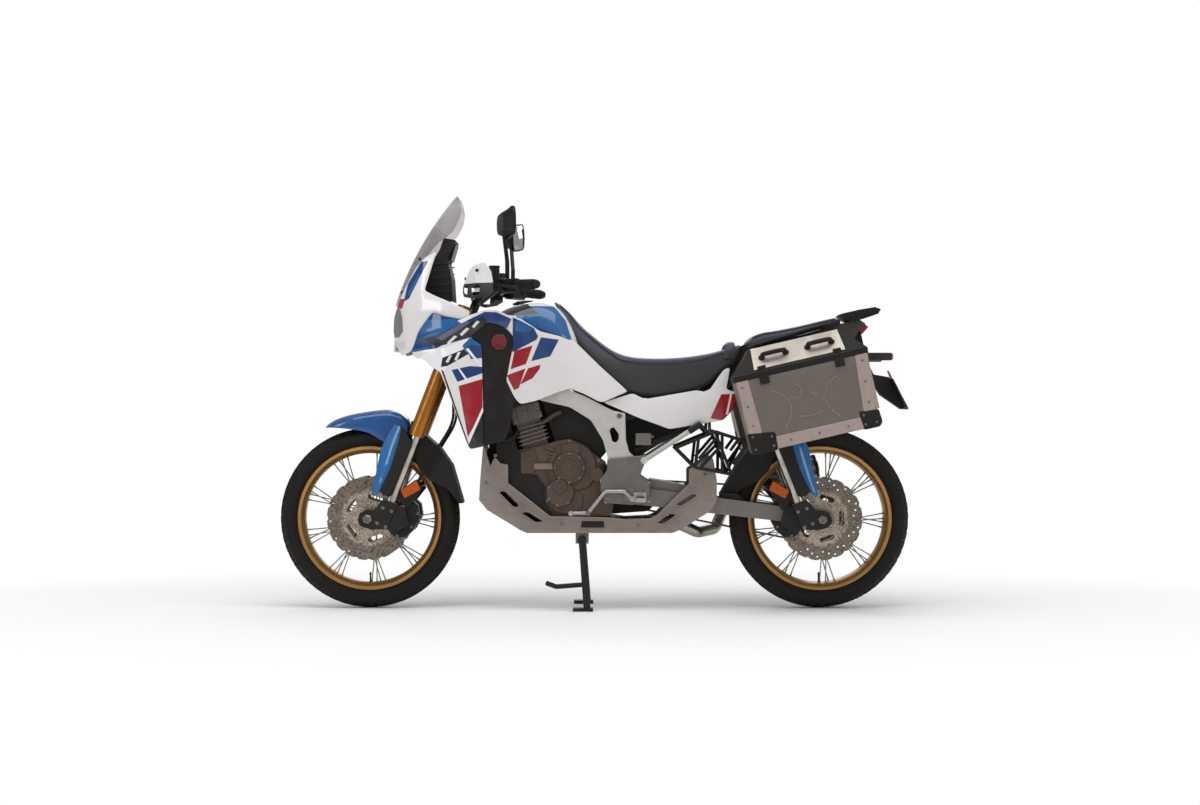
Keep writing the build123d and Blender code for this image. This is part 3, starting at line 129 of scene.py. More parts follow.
# ---- shaders
def plug(tree, socket, value):
    """Links a socket to another one, or gives it a value."""
    value = getattr(value, "socket", value)
    if isinstance(value, bpy.types.NodeSocket):
        tree.links.new(value, socket)
    else:
        socket.default_value = value


def add_node(tree, kind, settings, sockets):
    """Adds a node with its settings, which are set first, and the values or links of its sockets."""
    made = tree.nodes.new(kind)
    for key, value in (settings or {}).items():
        if key == "stops":
            ramp = made.color_ramp.elements
            while len(ramp) < len(value):
                ramp.new(0.5)
            for element, (position, shade) in zip(ramp, value):
                element.position, element.color = position, rgba(shade)
        else:
            setattr(made, key, value)
    for key, value in (sockets or {}).items():
        plug(tree, made.inputs[key], value)
    return made


def math_node(tree, operation, *values):
    return add_node(tree, "ShaderNodeMath", {"operation": operation}, dict(enumerate(values))).outputs[0]


class Value:
    """A shader socket. Arithmetic on it adds Math nodes."""

    def __init__(self, shader, socket):
        self.shader = shader
        self.socket = socket

    def __add__(self, other):
        return self.shader.math("ADD", self, other)

    def __sub__(self, other):
        return self.shader.math("SUBTRACT", self, other)

    def __rsub__(self, other):
        return self.shader.math("SUBTRACT", other, self)

    def __mul__(self, other):
        return self.shader.math("MULTIPLY", self, other)

    def __gt__(self, other):
        return self.shader.math("GREATER_THAN", self, other)

    __radd__ = __add__
    __rmul__ = __mul__


class Shader:
    """A material with a Principled surface, and the nodes that feed it."""

    def __init__(self, name, **surface):
        self.material = bpy.data.materials.new(name)
        self.material.use_nodes = True
        self.tree = self.material.node_tree
        self.surface = self.tree.nodes["Principled BSDF"]
        self.place = self.node("TexCoord", out="Object")
        self.set(**surface)

    def node(self, kind, settings=None, sockets=None, out=0):
        """Adds a shader node and returns one of its outputs, or all of them."""
        made = add_node(self.tree, "ShaderNode" + kind, settings, sockets)
        return [Value(self, output) for output in made.outputs] if out is None else Value(self, made.outputs[out])

    def set(self, **surface):
        """Feeds the surface's inputs, and returns the material."""
        for key, value in surface.items():
            if key.endswith("Color"):
                value = self.shade(value)
            plug(self.tree, self.surface.inputs[key.replace("_", " ")], value)
        return self.material

    def shade(self, value):
        return value if isinstance(value, Value) else rgba(value)

    def math(self, operation, *values, clamp=False):
        return self.node("Math", {"operation": operation, "use_clamp": clamp}, dict(enumerate(values)))

    def axes(self):
        return self.node("SeparateXYZ", None, {0: self.place}, out=None)

    def mix(self, mask, first, second):
        """The first colour where the mask is 0, the second where it is 1."""
        return self.node("Mix", {"data_type": "RGBA"}, {0: mask, 6: self.shade(first), 7: self.shade(second)}, out=2)

    def stretch(self, x, y, z):
        """Object coordinates scaled on each axis, to draw a pattern out."""
        return self.node("Mapping", None, {"Vector": self.place, "Scale": (x, y, z)})

    def noise(self, scale, detail, where=None):
        return self.node("TexNoise", None, {"Vector": where or self.place, "Scale": scale, "Detail": detail})

    def cells(self, scale, feature="F1"):
        return self.node("TexVoronoi", {"feature": feature}, {"Vector": self.place, "Scale": scale})

    def range(self, value, low, high, to_low=0.0, to_high=1.0):
        return self.node("MapRange", None, {0: value, 1: low, 2: high, 3: to_low, 4: to_high})

    def bump(self, height, depth, strength=1.0, under=None):
        """A bump of this depth in millimetres, laid over the one under it."""
        lower = {} if under is None else {"Normal": under}
        return self.node("Bump", None, {"Height": height, "Distance": depth * MM, "Strength": strength, **lower})

    def edge_wear(self):
        """About 1 on worn outward edges, 0 elsewhere."""
        pointiness = self.node("NewGeometry", out="Pointiness")
        return self.range(pointiness + self.noise(60, 4) * 0.06, 0.57, 0.64)

    def reach(self, x, z, axle):
        """The distance from an axle, seen from the side."""
        across, up = x - axle.x * MM, z - axle.z * MM
        return self.math("SQRT", across * across + up * up)

    def inside(self, x, z, corners):
        """1 inside a convex side-view outline in millimetres, 0 outside it."""
        turn = 1 if signed_area(corners) > 0 else -1
        nearest = None  # the depth behind the nearest edge so far
        for (x0, z0), (x1, z1) in zip(corners, corners[1:] + corners[:1]):
            reach = hypot(x1 - x0, z1 - z0)
            across, up = turn * (z0 - z1) / reach, turn * (x1 - x0) / reach
            depth = self.math("MULTIPLY_ADD", x, across, -(x0 * across + z0 * up) * MM)
            depth = self.math("MULTIPLY_ADD", z, up, depth)
            nearest = depth if nearest is None else self.math("MINIMUM", nearest, depth)
        return self.math("MULTIPLY_ADD", nearest, 1 / (PATCH_EDGE * MM), 0.5, clamp=True)


def lacquer(name, base, patches=(), flake=0.0, coat=1.0):
    """Glossy body paint. Patches are (colour, convex outline) pairs laid over each other in order."""
    shader = Shader(name, Specular_IOR_Level=0.2, Coat_Weight=coat, Coat_Roughness=0.04, Coat_IOR=1.5)
    x, _, z = shader.axes()
    paint = base
    for shade, corners in patches:
        paint = shader.mix(shader.inside(x, z, corners), paint, shade)
    grime = shader.range(shader.noise(9, 5), 0.45, 0.8)
    paint = shader.mix(grime * 0.10, paint, (0.30, 0.28, 0.26, 1))
    if flake:
        speck = shader.cells(2600)
        paint = shader.mix(shader.range(speck, 0.0, 0.5) * flake, paint, tone(base, 1.9))
    ripple = shader.bump(shader.noise(220, 2), 0.05, 0.35)
    return shader.set(Base_Color=paint, Normal=ripple, Roughness=shader.range(grime, 0, 1, 0.24, 0.42))


def plastic(name, shade, roughness=0.5, grain=900, depth=0.12):
    """Moulded plastic with a leather-like grain and lighter rubbed edges."""
    shader = Shader(name, Specular_IOR_Level=0.3)
    pits = shader.cells(grain, "SMOOTH_F1")
    wear = shader.edge_wear()
    dust = shader.range(shader.noise(14, 6), 0.5, 0.85)
    paint = shader.mix(wear * 0.5, shade, tone(shade, 2.6))
    paint = shader.mix(dust * 0.2, paint, (0.06, 0.05, 0.042, 1))
    return shader.set(Base_Color=paint, Normal=shader.bump(pits, depth, 0.5),
                      Roughness=shader.range(pits + dust * 0.3, 0.1, 0.9, roughness, roughness + 0.22))


def rubber(name, shade):
    """Matt tyre or grip rubber, greyer where it is scuffed."""
    shader = Shader(name, Specular_IOR_Level=0.25)
    scuff = shader.range(shader.noise(26, 6), 0.42, 0.75)
    fine = shader.noise(900, 3)
    paint = shader.mix(scuff * 0.45, shade, (0.022, 0.019, 0.016, 1))
    return shader.set(Base_Color=paint, Roughness=shader.range(scuff, 0, 1, 0.62, 0.9),
                      Normal=shader.bump(fine, 0.12, 0.5))


def metal(name, shade, roughness, dirt, metallic=1.0, cast=0.0, streak=None):
    """Metal: brushed where streak gives stretched coordinates, grainy where cast has a depth."""
    shader = Shader(name)
    stain = shader.range(shader.noise(11, 6), 0.45, 0.78)
    wear = shader.edge_wear()
    paint = shader.mix(stain * dirt, shade, tone(shade, 0.35))
    paint = shader.mix(wear * 0.35, paint, tone(shade, 1.8))
    level = shader.range(stain, 0, 1, roughness, roughness + 0.2)
    if streak:
        lines = shader.noise(340, 4, shader.stretch(*streak))
        paint = shader.mix(shader.range(lines, 0.35, 0.65) * 0.22, paint, tone(shade, 0.62))
        level = level + shader.range(lines, 0.3, 0.7) * 0.16
        relief = shader.bump(lines, 0.03, 0.4)
    else:
        relief = shader.bump(shader.noise(700 if cast else 260, 5), cast or 0.02, 0.6)
    return shader.set(Base_Color=paint, Metallic=metallic, Roughness=level, Normal=relief)


def vinyl(name):
    """Seat cover: navy on top, dark grey on the flanks, with a fine leather grain."""
    shader = Shader(name)
    up = shader.node("SeparateXYZ", None, {0: shader.node("NewGeometry", out="Normal")}, out=2)
    patchy = shader.noise(7, 5)
    top = shader.range(up + patchy * 0.12, 0.50, 0.72)
    paint = shader.mix(top, "seat_side", "seat_top")
    paint = shader.mix(shader.range(patchy, 0.5, 0.8) * 0.35, paint, tone("seat_side", 1.7))
    grain = shader.cells(760, "DISTANCE_TO_EDGE")
    creases = shader.range(grain, 0.0, 0.16)
    relief = shader.bump(creases, 0.16, 0.55, shader.bump(shader.noise(34, 3), 0.5, 0.35))
    return shader.set(Base_Color=paint, Roughness=shader.range(creases, 0, 1, 0.62, 0.44), Normal=relief,
                      Sheen_Weight=0.15)


def glass(name, tint, roughness, alpha):
    """A clear moulded lens with faint smears."""
    shader = Shader(name, Base_Color=tint, Transmission_Weight=1.0, IOR=1.46, Alpha=alpha)
    smear = shader.range(shader.noise(16, 5), 0.4, 0.8)
    return shader.set(Roughness=shader.range(smear, 0, 1, roughness, roughness + 0.08),
                      Normal=shader.bump(shader.noise(40, 2), 0.04, 0.3))




# ---- outlines
def around(count, start=0.0):
    """The angles of this many even steps round a circle."""
    return [2 * pi * (k + start) / count for k in range(count)]


def anticlockwise(loop):
    return loop if signed_area(loop) > 0 else loop[::-1]


def rounded(outline, radius, steps=3):
    """The outline with its corners turned into arcs of about this radius."""
    points = []
    outline = [Vector(p) for p in outline]
    for before, corner, after in zip(outline[-1:] + outline[:-1], outline, outline[1:] + outline[:1]):
        cut = min(radius, (corner - before).length * 0.42, (after - corner).length * 0.42)
        start = corner + (before - corner).normalized() * cut
        end = corner + (after - corner).normalized() * cut
        for step in range(steps + 1):
            t = step / steps
            points.append(tuple(start * (1 - t) ** 2 + corner * 2 * t * (1 - t) + end * t * t))
    return points


def resampled(loop, spacing):
    """The closed loop with its long edges divided."""
    points = []
    for (x0, z0), (x1, z1) in zip(loop, loop[1:] + loop[:1]):
        parts = max(1, round(hypot(x1 - x0, z1 - z0) / spacing))
        points += [(x0 + (x1 - x0) * k / parts, z0 + (z1 - z0) * k / parts) for k in range(parts)]
    return points


def signed_area(loop):
    return sum(x0 * z1 - x1 * z0 for (x0, z0), (x1, z1) in zip(loop, loop[1:] + loop[:1])) / 2


def inset(loop, distance):
    """The closed loop moved inwards."""
    turn = 1 if signed_area(loop) > 0 else -1
    loop = [Vector(p) for p in loop]
    moved = []
    for before, here, after in zip(loop[-1:] + loop[:-1], loop, loop[1:] + loop[:1]):
        run = (after - before).normalized()
        moved.append((here.x - run.y * turn * distance, here.y + run.x * turn * distance))
    return moved


def within(loops, points):
    """Which points lie inside the loops, holes left out."""
    hits = np.zeros(len(points), bool)
    for loop in loops:
        ring = np.array(loop)
        x0, z0 = ring[:, 0], ring[:, 1]
        x1, z1 = np.roll(x0, -1), np.roll(z0, -1)
        px, pz = points[:, :1], points[:, 1:]
        crosses = (z0 > pz) != (z1 > pz)
        with np.errstate(divide="ignore", invalid="ignore"):
            cut = (x1 - x0) * (pz - z0) / (z1 - z0) + x0
        hits ^= (crosses & (px < cut)).sum(1) % 2 == 1
    return hits


def filled(loops, inner_points=()):
    """Triangles of the area inside the loops: points and index triples, wound the same way."""
    points, edges = [], []
    for loop in loops:
        first = len(points)
        points += [tuple(p) for p in loop]
        edges += [(first + k, first + (k + 1) % len(loop)) for k in range(len(loop))]
    points += [tuple(p) for p in inner_points]
    made, _, faces, *_ = delaunay_2d_cdt([Vector(p) for p in points], edges, [], 0, 0.001)
    made = np.array([tuple(p) for p in made])
    faces = np.array([tuple(f) for f in faces])
    faces = faces[within(loops, made[faces].mean(1))]
    a, b, c = (made[faces[:, k]] for k in range(3))
    flip = (b[:, 0] - a[:, 0]) * (c[:, 1] - a[:, 1]) - (b[:, 1] - a[:, 1]) * (c[:, 0] - a[:, 0]) < 0
    faces[flip] = faces[flip][:, ::-1]
    return made, faces


def gaps(points, ring):
    """The distance from each point to the nearest one of the ring."""
    return np.sqrt(((points[:, None] - ring[None]) ** 2).sum(2)).min(1)


def bulge(faces, fixed):
    """How far each point of a mesh rises: 0 where fixed, 1 at the highest."""
    links = np.zeros((len(fixed), len(fixed)), bool)
    for a, b, c in faces:
        links[[a, b, c, b, c, a], [b, c, a, a, b, c]] = True
    weights = links / links.sum(1)[:, None].clip(1)
    lift = np.zeros(len(fixed))
    for _ in range(BULGE_ROUNDS):
        lift = weights @ lift + 1.0
        lift[fixed] = 0
    return lift / max(lift.max(), 1e-6)


def point_normals(points, faces):
    a, b, c = (points[faces[:, k]] for k in range(3))
    normals = np.zeros_like(points)
    for k in range(3):
        np.add.at(normals, faces[:, k], np.cross(b - a, c - a))
    return normals / np.linalg.norm(normals, axis=1)[:, None].clip(1e-9)


def border(faces):
    """The edges that only one face has."""
    edges = {}
    for a, b, c in faces:
        for edge in ((a, b), (b, c), (c, a)):
            if edges.pop(edge[::-1], None) is None:
                edges[edge] = True
    return edges


def along(table, place):
    """The second value of a table of pairs at this place, between its rows."""
    return float(np.interp(place, [row[0] for row in table], [row[1] for row in table]))


def smooth_path(points, steps=6):
    """Points of a Catmull-Rom curve through the given ones."""
    ends = [Vector(p) for p in points]
    ends = [ends[0] * 2 - ends[1], *ends, ends[-1] * 2 - ends[-2]]
    path = []
    for a, b, c, d in zip(ends, ends[1:], ends[2:], ends[3:]):
        for step in range(steps):
            t = step / steps
            path.append(((b * 2) + (c - a) * t + (a * 2 - b * 5 + c * 4 - d) * t * t
                         + (b * 3 - a - c * 3 + d) * t ** 3) / 2)
    return [*path, ends[-2]]


# ---- shapes
class Shape:
    """A mesh put together from simple forms, in millimetres."""

    def __init__(self, *finishes):
        self.mesh = bmesh.new()
        self.finishes = finishes
        self.slot = 0

    def use(self, name):
        self.slot = self.finishes.index(name)
        return self

    def face(self, corners):
        try:
            made = self.mesh.faces.new(corners)
        except ValueError:  # the same face twice
            return
        made.material_index = self.slot
        made.smooth = True

    def points(self, places):
        return [self.mesh.verts.new(p) for p in places]

    def add(self, places, faces):
        """Adds points and faces given by their numbers."""
        corners = self.points(places)
        for face in faces:
            self.face([corners[k] for k in face])
        return corners

    def rings(self, rings, cap_start=True, cap_end=True, closed=False):
        """Joins rings of equal length into a skin."""
        verts = [self.points(ring) for ring in rings]
        pairs = list(zip(verts, verts[1:])) + ([(verts[-1], verts[0])] if closed else [])
        for low, high in pairs:
            for k in range(len(low)):
                n = (k + 1) % len(low)
                self.face([low[k], low[n], high[n], high[k]])
        if cap_start and not closed:
            self.face(verts[0][::-1])
        if cap_end and not closed:
            self.face(verts[-1])
        return self

    def turned(self, centre, axis, profile, steps=48):
        """A profile of (along, radius) pairs turned about an axis through the centre."""
        axis = Vector(axis).normalized()
        side = axis.orthogonal().normalized()
        other = axis.cross(side)
        return self.rings([[Vector(centre) + axis * reach + (side * cos(a) + other * sin(a)) * max(radius, 0.01)
                            for a in around(steps)] for reach, radius in profile])

    def hoop(self, centre, profile, steps=120):
        """A closed profile of (side, radius) pairs turned about a wheel's axle."""
        return self.rings([[centre + Vector((radius * cos(a), side, radius * sin(a))) for side, radius in profile]
                           for a in around(steps)], closed=True)

    def prism(self, outline, start, end):
        """A side-view outline drawn out across the machine."""
        return self.rings([[(x, side, z) for x, z in outline] for side in (start, end)])

    def rod(self, start, end, radius, sides=16):
        """A rod with chamfered ends."""
        start, end = Vector(start), Vector(end)
        run = end - start
        chamfer = min(radius * 0.25, 2.0)
        return self.turned(start, run, [(0, radius - chamfer), (chamfer, radius), (run.length - chamfer, radius),
                                        (run.length, radius - chamfer)], sides)

    def tube(self, points, radius, sides=14, steps=6):
        """A round tube along a smooth path."""
        path = smooth_path(points, steps)
        tangents = [(b - a).normalized() for a, b in zip([path[0], *path], [*path[1:], path[-1]])]
        side = tangents[0].orthogonal().normalized()
        rings = []
        for place, tangent in zip(path, tangents):
            side = (side - tangent * side.dot(tangent)).normalized()
            other = tangent.cross(side)
            rings.append([place + (side * cos(a) + other * sin(a)) * radius
                          for a in around(sides)])
        return self.rings(rings)

    def box(self, low, high, bevel=2.0):
        """A box between two corners with bevelled edges."""
        made = bmesh.ops.create_cube(self.mesh, size=1.0)
        for vert in made["verts"]:
            vert.co = [(a + b) / 2 + c * (b - a) for a, b, c in zip(low, high, vert.co)]
        edges = list({edge for vert in made["verts"] for edge in vert.link_edges})
        for face in {face for vert in made["verts"] for face in vert.link_faces}:
            face.material_index = self.slot
            face.smooth = True
        if bevel:
            bmesh.ops.bevel(self.mesh, geom=edges, offset=bevel, segments=2, profile=0.7, affect="EDGES",
                            clamp_overlap=True, material=self.slot)
        return self

    def plate(self, loops, inner, outer, edge=1.5):
        """A flat plate with holes, on the left, from inner to outer; its outer rim is chamfered."""
        level = [anticlockwise(loops[0])] + [anticlockwise(hole)[::-1] for hole in loops[1:]]
        drawn_in = [inset(level[0], edge)] + [inset(hole, -edge) for hole in level[1:]]
        for outline, side in ((drawn_in, outer), (level, inner)):
            flat, faces = filled(outline)
            self.add([(x, -side, z) for x, z in flat], faces)
        for small, large in zip(drawn_in, level):
            self.rings([[(x, -outer, z) for x, z in small], [(x, edge - outer, z) for x, z in large],
                        [(x, -inner, z) for x, z in large]], False, False)

    def panel(self, outline, half_at, skin, crown=5.0, spacing=14.0, corner=10.0, relief=None):
        """A body panel: a side-view outline bent to a half width, crowned in the middle, with rounded rims."""
        rim = anticlockwise(resampled(rounded(outline, corner), spacing * 0.7))
        bands = inset(rim, 1.0) + inset(rim, 3.0)  # two rings that round the rim off
        xs, zs = [p[0] for p in rim], [p[1] for p in rim]
        grid = np.array([(x + (spacing / 2 if row % 2 else 0), z)
                         for row, z in enumerate(np.arange(min(zs), max(zs), spacing * 0.87))
                         for x in np.arange(min(xs), max(xs), spacing)])
        ring = np.array(rim)
        grid = grid[(gaps(grid, ring) > spacing * 0.62) & within([rim], grid)]
        points, faces = filled([rim], bands + [tuple(p) for p in grid])
        gap = gaps(points, ring)
        lift = crown * bulge(faces, gap < 3.4)
        lift[gap < 0.3] = -1.8  # the rim
        lift[(gap >= 0.3) & (gap < 1.6)] = -0.5  # the first ring
        half = np.array([half_at(x, z) + (relief(x, z) if relief else 0) for x, z in points])
        front = np.column_stack([points[:, 0], -(half + lift), points[:, 1]])
        front_verts = self.add(front, faces)
        back_verts = self.add(front - point_normals(front, faces) * skin, faces[:, ::-1])
        for a, b in border(faces):
            self.face([front_verts[b], front_verts[a], back_verts[a], back_verts[b]])
        return self

    def sheet(self, point_at, across, up, thickness):
        """A curved sheet: point_at(u, v) for u and v from 0 to 1, with this thickness behind it."""
        grid = [[Vector(point_at(i / across, j / up)) for i in range(across + 1)] for j in range(up + 1)]
        front = [self.points(row) for row in grid]
        back = []
        for j, row in enumerate(grid):
            line = []
            for i, place in enumerate(row):
                a = grid[j][min(i + 1, across)] - grid[j][max(i - 1, 0)]
                b = grid[min(j + 1, up)][i] - grid[max(j - 1, 0)][i]
                line.append(self.mesh.verts.new(place - a.cross(b).normalized() * thickness))
            back.append(line)
        for j in range(up):
            for i in range(across):
                self.face([front[j][i], front[j][i + 1], front[j + 1][i + 1], front[j + 1][i]])
                self.face([back[j + 1][i], back[j + 1][i + 1], back[j][i + 1], back[j][i]])
        rim = ([(0, i) for i in range(across)] + [(j, across) for j in range(up)]
               + [(up, i) for i in range(across, 0, -1)] + [(j, 0) for j in range(up, 0, -1)])
        for (j0, i0), (j1, i1) in zip(rim, rim[1:] + rim[:1]):
            self.face([front[j1][i1], front[j0][i0], back[j0][i0], back[j1][i1]])
        return self

    def mirror(self):
        """Adds the same on the other side of the centre plane."""
        made = bmesh.ops.duplicate(self.mesh, geom=self.mesh.verts[:] + self.mesh.edges[:] + self.mesh.faces[:])
        faces = [g for g in made["geom"] if isinstance(g, bmesh.types.BMFace)]
        for vert in (g for g in made["geom"] if isinstance(g, bmesh.types.BMVert)):
            vert.co.y = -vert.co.y
        bmesh.ops.reverse_faces(self.mesh, faces=faces)
        return self

    def in_metres(self, name):
        for vert in self.mesh.verts:
            vert.co *= MM
        data = bpy.data.meshes.new(name)
        self.mesh.to_mesh(data)
        self.mesh.free()
        return data

    def build(self, name, body, replaced=(), subdivide=0, outward=True, angle=SMOOTH_ANGLE, merge=0.02):
        """Makes the piece: an object at the origin, in metres, that rides on its body."""
        bmesh.ops.remove_doubles(self.mesh, verts=self.mesh.verts[:], dist=merge)
        if outward:
            bmesh.ops.recalc_face_normals(self.mesh, faces=self.mesh.faces[:])
        made = placed(name, self.in_metres(name))
        for item in self.finishes:
            made.data.materials.append(finish(item))
        if subdivide:
            modifier = made.modifiers.new("rounding", "SUBSURF")
            modifier.levels = modifier.render_levels = subdivide
            made = applied(made)
        return kept(made, body, replaced, angle)


def placed(name, data):
    """A new object in the scene."""
    made = bpy.data.objects.new(name, data)
    bpy.context.scene.collection.objects.link(made)
    return made


def kept(made, body, replaced, angle=SMOOTH_ANGLE):
    made.data.set_sharp_from_angle(angle=angle)
    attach(made, body)
    if replaced:
        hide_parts(*replaced)
    return made


def applied(made):
    """Turns an object's modifiers into its mesh."""
    graph = bpy.context.evaluated_depsgraph_get()
    data = bpy.data.meshes.new_from_object(made.evaluated_get(graph))
    data.name = made.name
    made.modifiers.clear()
    made.data = data
    return made


# ---- geometry nodes
class Tree:
    """A geometry node tree with named inputs."""

    def __init__(self, name, **inputs):
        self.group = bpy.data.node_groups.new(name, "GeometryNodeTree")
        face = self.group.interface
        face.new_socket("Geometry", in_out="INPUT", socket_type="NodeSocketGeometry")
        for key, kind in inputs.items():
            face.new_socket(key.replace("_", " "), in_out="INPUT", socket_type="NodeSocket" + kind)
        face.new_socket("Geometry", in_out="OUTPUT", socket_type="NodeSocketGeometry")
        self.inputs = self.group.nodes.new("NodeGroupInput")
        self.output = self.group.nodes.new("NodeGroupOutput")

    def node(self, kind, settings=None, **sockets):
        return add_node(self.group, kind, settings, {key.replace("_", " "): value for key, value in sockets.items()})

    def given(self, name):
        return self.inputs.outputs[name]

    def copied(self, points, rotation):
        """Ends the tree with copies of its item at the points, as a plain painted mesh."""
        item = self.node("GeometryNodeObjectInfo", Object=self.given("Item"))
        copies = self.node("GeometryNodeInstanceOnPoints", Points=points, Instance=item.outputs["Geometry"],
                           Rotation=rotation)
        realized = self.node("GeometryNodeRealizeInstances", Geometry=copies.outputs[0])
        painted = self.node("GeometryNodeSetMaterial", Geometry=realized.outputs[0], Material=self.given("Material"))
        self.group.links.new(painted.outputs[0], self.output.inputs[0])
        return self.group


def ring_tree():
    """Copies of an item turned about an axle."""
    tree = Tree("ring of items", Item="Object", Count="Int", Centre="Vector", Material="Material")
    points = tree.node("GeometryNodePoints", Count=tree.given("Count"), Position=tree.given("Centre"))
    index = tree.node("GeometryNodeInputIndex").outputs[0]
    share = math_node(tree.group, "DIVIDE", index, tree.given("Count"))
    turn = tree.node("ShaderNodeCombineXYZ", Y=math_node(tree.group, "MULTIPLY", share, 2 * pi))
    return tree.copied(points.outputs[0], turn.outputs[0])


def spot_tree():
    """Copies of an item at marked points, its z axis along each point's facing."""
    tree = Tree("items at points", Item="Object", Material="Material")
    facing = tree.node("GeometryNodeInputNamedAttribute", {"data_type": "FLOAT_VECTOR"}, Name="facing")
    turn = tree.node("FunctionNodeAlignRotationToVector", {"axis": "Z"}, Vector=facing.outputs[0])
    return tree.copied(tree.given("Geometry"), turn.outputs[0])


def path_tree():
    """Copies of an item along a path, each turned to the path."""
    tree = Tree("items along a path", Item="Object", Count="Int", Material="Material")
    curve = tree.node("GeometryNodeMeshToCurve", Mesh=tree.given("Geometry"))
    spaced = tree.node("GeometryNodeResampleCurve", Curve=curve.outputs[0], Count=tree.given("Count"))
    tangent = tree.node("GeometryNodeInputTangent")
    turn = tree.node("FunctionNodeAxesToRotation", {"primary_axis": "X", "secondary_axis": "Y"},
                     Primary_Axis=tangent.outputs[0], Secondary_Axis=(0.0, 1.0, 0.0))
    return tree.copied(spaced.outputs[0], turn.outputs[0])


trees = {}


def grown(name, body, maker, finish_name, shape, start=None, replaced=(), **values):
    """Copies a shape by a node tree that starts from a mesh, and keeps the copies as one plain piece."""
    bmesh.ops.recalc_face_normals(shape.mesh, faces=shape.mesh.faces[:])
    item = placed("item", shape.in_metres("item"))
    if maker not in trees:
        trees[maker] = maker()
    made = placed(name, start or bpy.data.meshes.new(name))
    modifier = made.modifiers.new(name, "NODES")
    modifier.node_group = trees[maker]
    sockets = {socket.name: socket.identifier for socket in trees[maker].interface.items_tree
               if getattr(socket, "in_out", "") == "INPUT"}
    for key, value in {**values, "Item": item, "Material": finish(finish_name)}.items():
        modifier[sockets[key]] = value
    applied(made)
    bpy.data.meshes.remove(item.data)
    made.data.polygons.foreach_set("use_smooth", [True] * len(made.data.polygons))
    return kept(made, body, replaced)


def traced(points):
    """A mesh of one line through these points."""
    data = bpy.data.meshes.new("line")
    data.from_pydata([tuple(p * MM) for p in points], [(k, k + 1) for k in range(len(points) - 1)], [])
    return data, sum((b - a).length for a, b in zip(points, points[1:]))


def marked(places):
    """A mesh of points, each with the direction that it faces. places holds (point, facing) in millimetres."""
    data = bpy.data.meshes.new("places")
    data.from_pydata([tuple(Vector(p) * MM) for p, _ in places], [], [])
    facing = data.attributes.new("facing", "FLOAT_VECTOR", "POINT")
    facing.data.foreach_set("vector", [c for _, direction in places for c in Vector(direction).normalized()])
    return data


def bolts(name, body, places, radius, finish_name="bolt steel"):
    """Socket-head bolts at (point, facing) places."""
    head = Shape()
    head.turned((0, 0, -2), (0, 0, 1), [(0, 1.15), (2.2, 1.15), (2.4, 1.0), (4.4, 1.0), (4.9, 0.86), (4.9, 0.5),
                                      (3.6, 0.45), (3.6, 0.0)], 12)
    for vert in head.mesh.verts:
        vert.co.x *= radius
        vert.co.y *= radius
    grown(name, body, spot_tree, finish_name, head, marked(places))


def both_sides(places):
    """The places and their mirror images."""
    return places + [((x, -y, z), (dx, -dy, dz)) for (x, y, z), (dx, dy, dz) in places]


def flanks(points):
    """Places on both sides, facing outwards, from points of the left side."""
    return both_sides([(tuple(point), LEFT) for point in points])




# ---- finishes
EDGE_WHITE = (232, 232, 236)
NIGHT = (14, 14, 18)
STEEL = (150, 146, 140)
SIGNAL_RED = (150, 16, 18)

# blocks of colour as (colour, convex side-view outline) pairs, each laid over those before it
WING_PATCHES = [
    ("sky", [(-645, 1014), (-624, 1070), (-510, 1072), (-470, 1070), (-625, 1008)]),
    ("blue", [(-645, 1014), (-628, 1052), (-500, 1060), (-482, 1066), (-620, 1004)]),
    ("sky", [(-630, 1006), (-500, 1072), (-462, 1070), (-618, 996)]),
    ("slate", [(-580, 1000), (-470, 1070), (-455, 1058), (-560, 985)]),
    (NIGHT, [(-628, 1000), (-594, 1010), (-552, 992), (-545, 966), (-568, 968)]),
    (NIGHT, [(-556, 966), (-566, 990), (-408, 1083), (-389, 1062), (-455, 1006)]),
    ("white", [(-540, 985), (-533, 980), (-501, 1008), (-512, 1012)]),
    ("white", [(-492, 1016), (-484, 1010), (-456, 1036), (-467, 1040)]),
    ("white", [(-447, 1044), (-439, 1038), (-418, 1062), (-429, 1066)]),
    (EDGE_WHITE, [(-500, 1065), (-404, 1109), (-400, 1098), (-486, 1056)]),
    (EDGE_WHITE, [(-405, 1109), (-354, 1109), (-354, 1096), (-400, 1098)]),
    (EDGE_WHITE, [(-356, 1109), (-290, 1080), (-298, 1070), (-358, 1097)]),
    ("sky", [(-682, 958), (-590, 974), (-622, 960), (-676, 950)]),
    (EDGE_WHITE, [(-560, 975), (-640, 935), (-600, 897), (-560, 873), (-450, 985), (-448, 1006)]),
    (NIGHT, [(-562, 897), (-556, 930), (-456, 970), (-448, 950), (-538, 900)]),
    ("white", [(-544, 915), (-534, 912), (-520, 940), (-531, 938)]),
    ("white", [(-512, 922), (-502, 920), (-488, 952), (-499, 950)]),
    ("sky", [(-482, 975), (-456, 1002), (-408, 990), (-408, 955), (-470, 950)]),
    ("blue", [(-470, 968), (-450, 978), (-408, 972), (-408, 930), (-450, 925)]),
    (EDGE_WHITE, [(-470, 962), (-460, 966), (-408, 900), (-408, 888)]),
    ("blue", [(-522, 886), (-454, 900), (-408, 897), (-408, 874), (-500, 842)]),
    (EDGE_WHITE, [(-500, 893), (-493, 893), (-462, 850), (-470, 848)]),
    ("red", [(-496, 827), (-408, 853), (-408, 736), (-462, 640)]),
    (NIGHT, [(-483, 560), (-400, 746), (-400, 560)]),
    (EDGE_WHITE, [(-409, 748), (-402, 748), (-458, 618), (-466, 622)]),
    (NIGHT, [(-561, 886), (-553, 884), (-458, 614), (-464, 614)]),
]
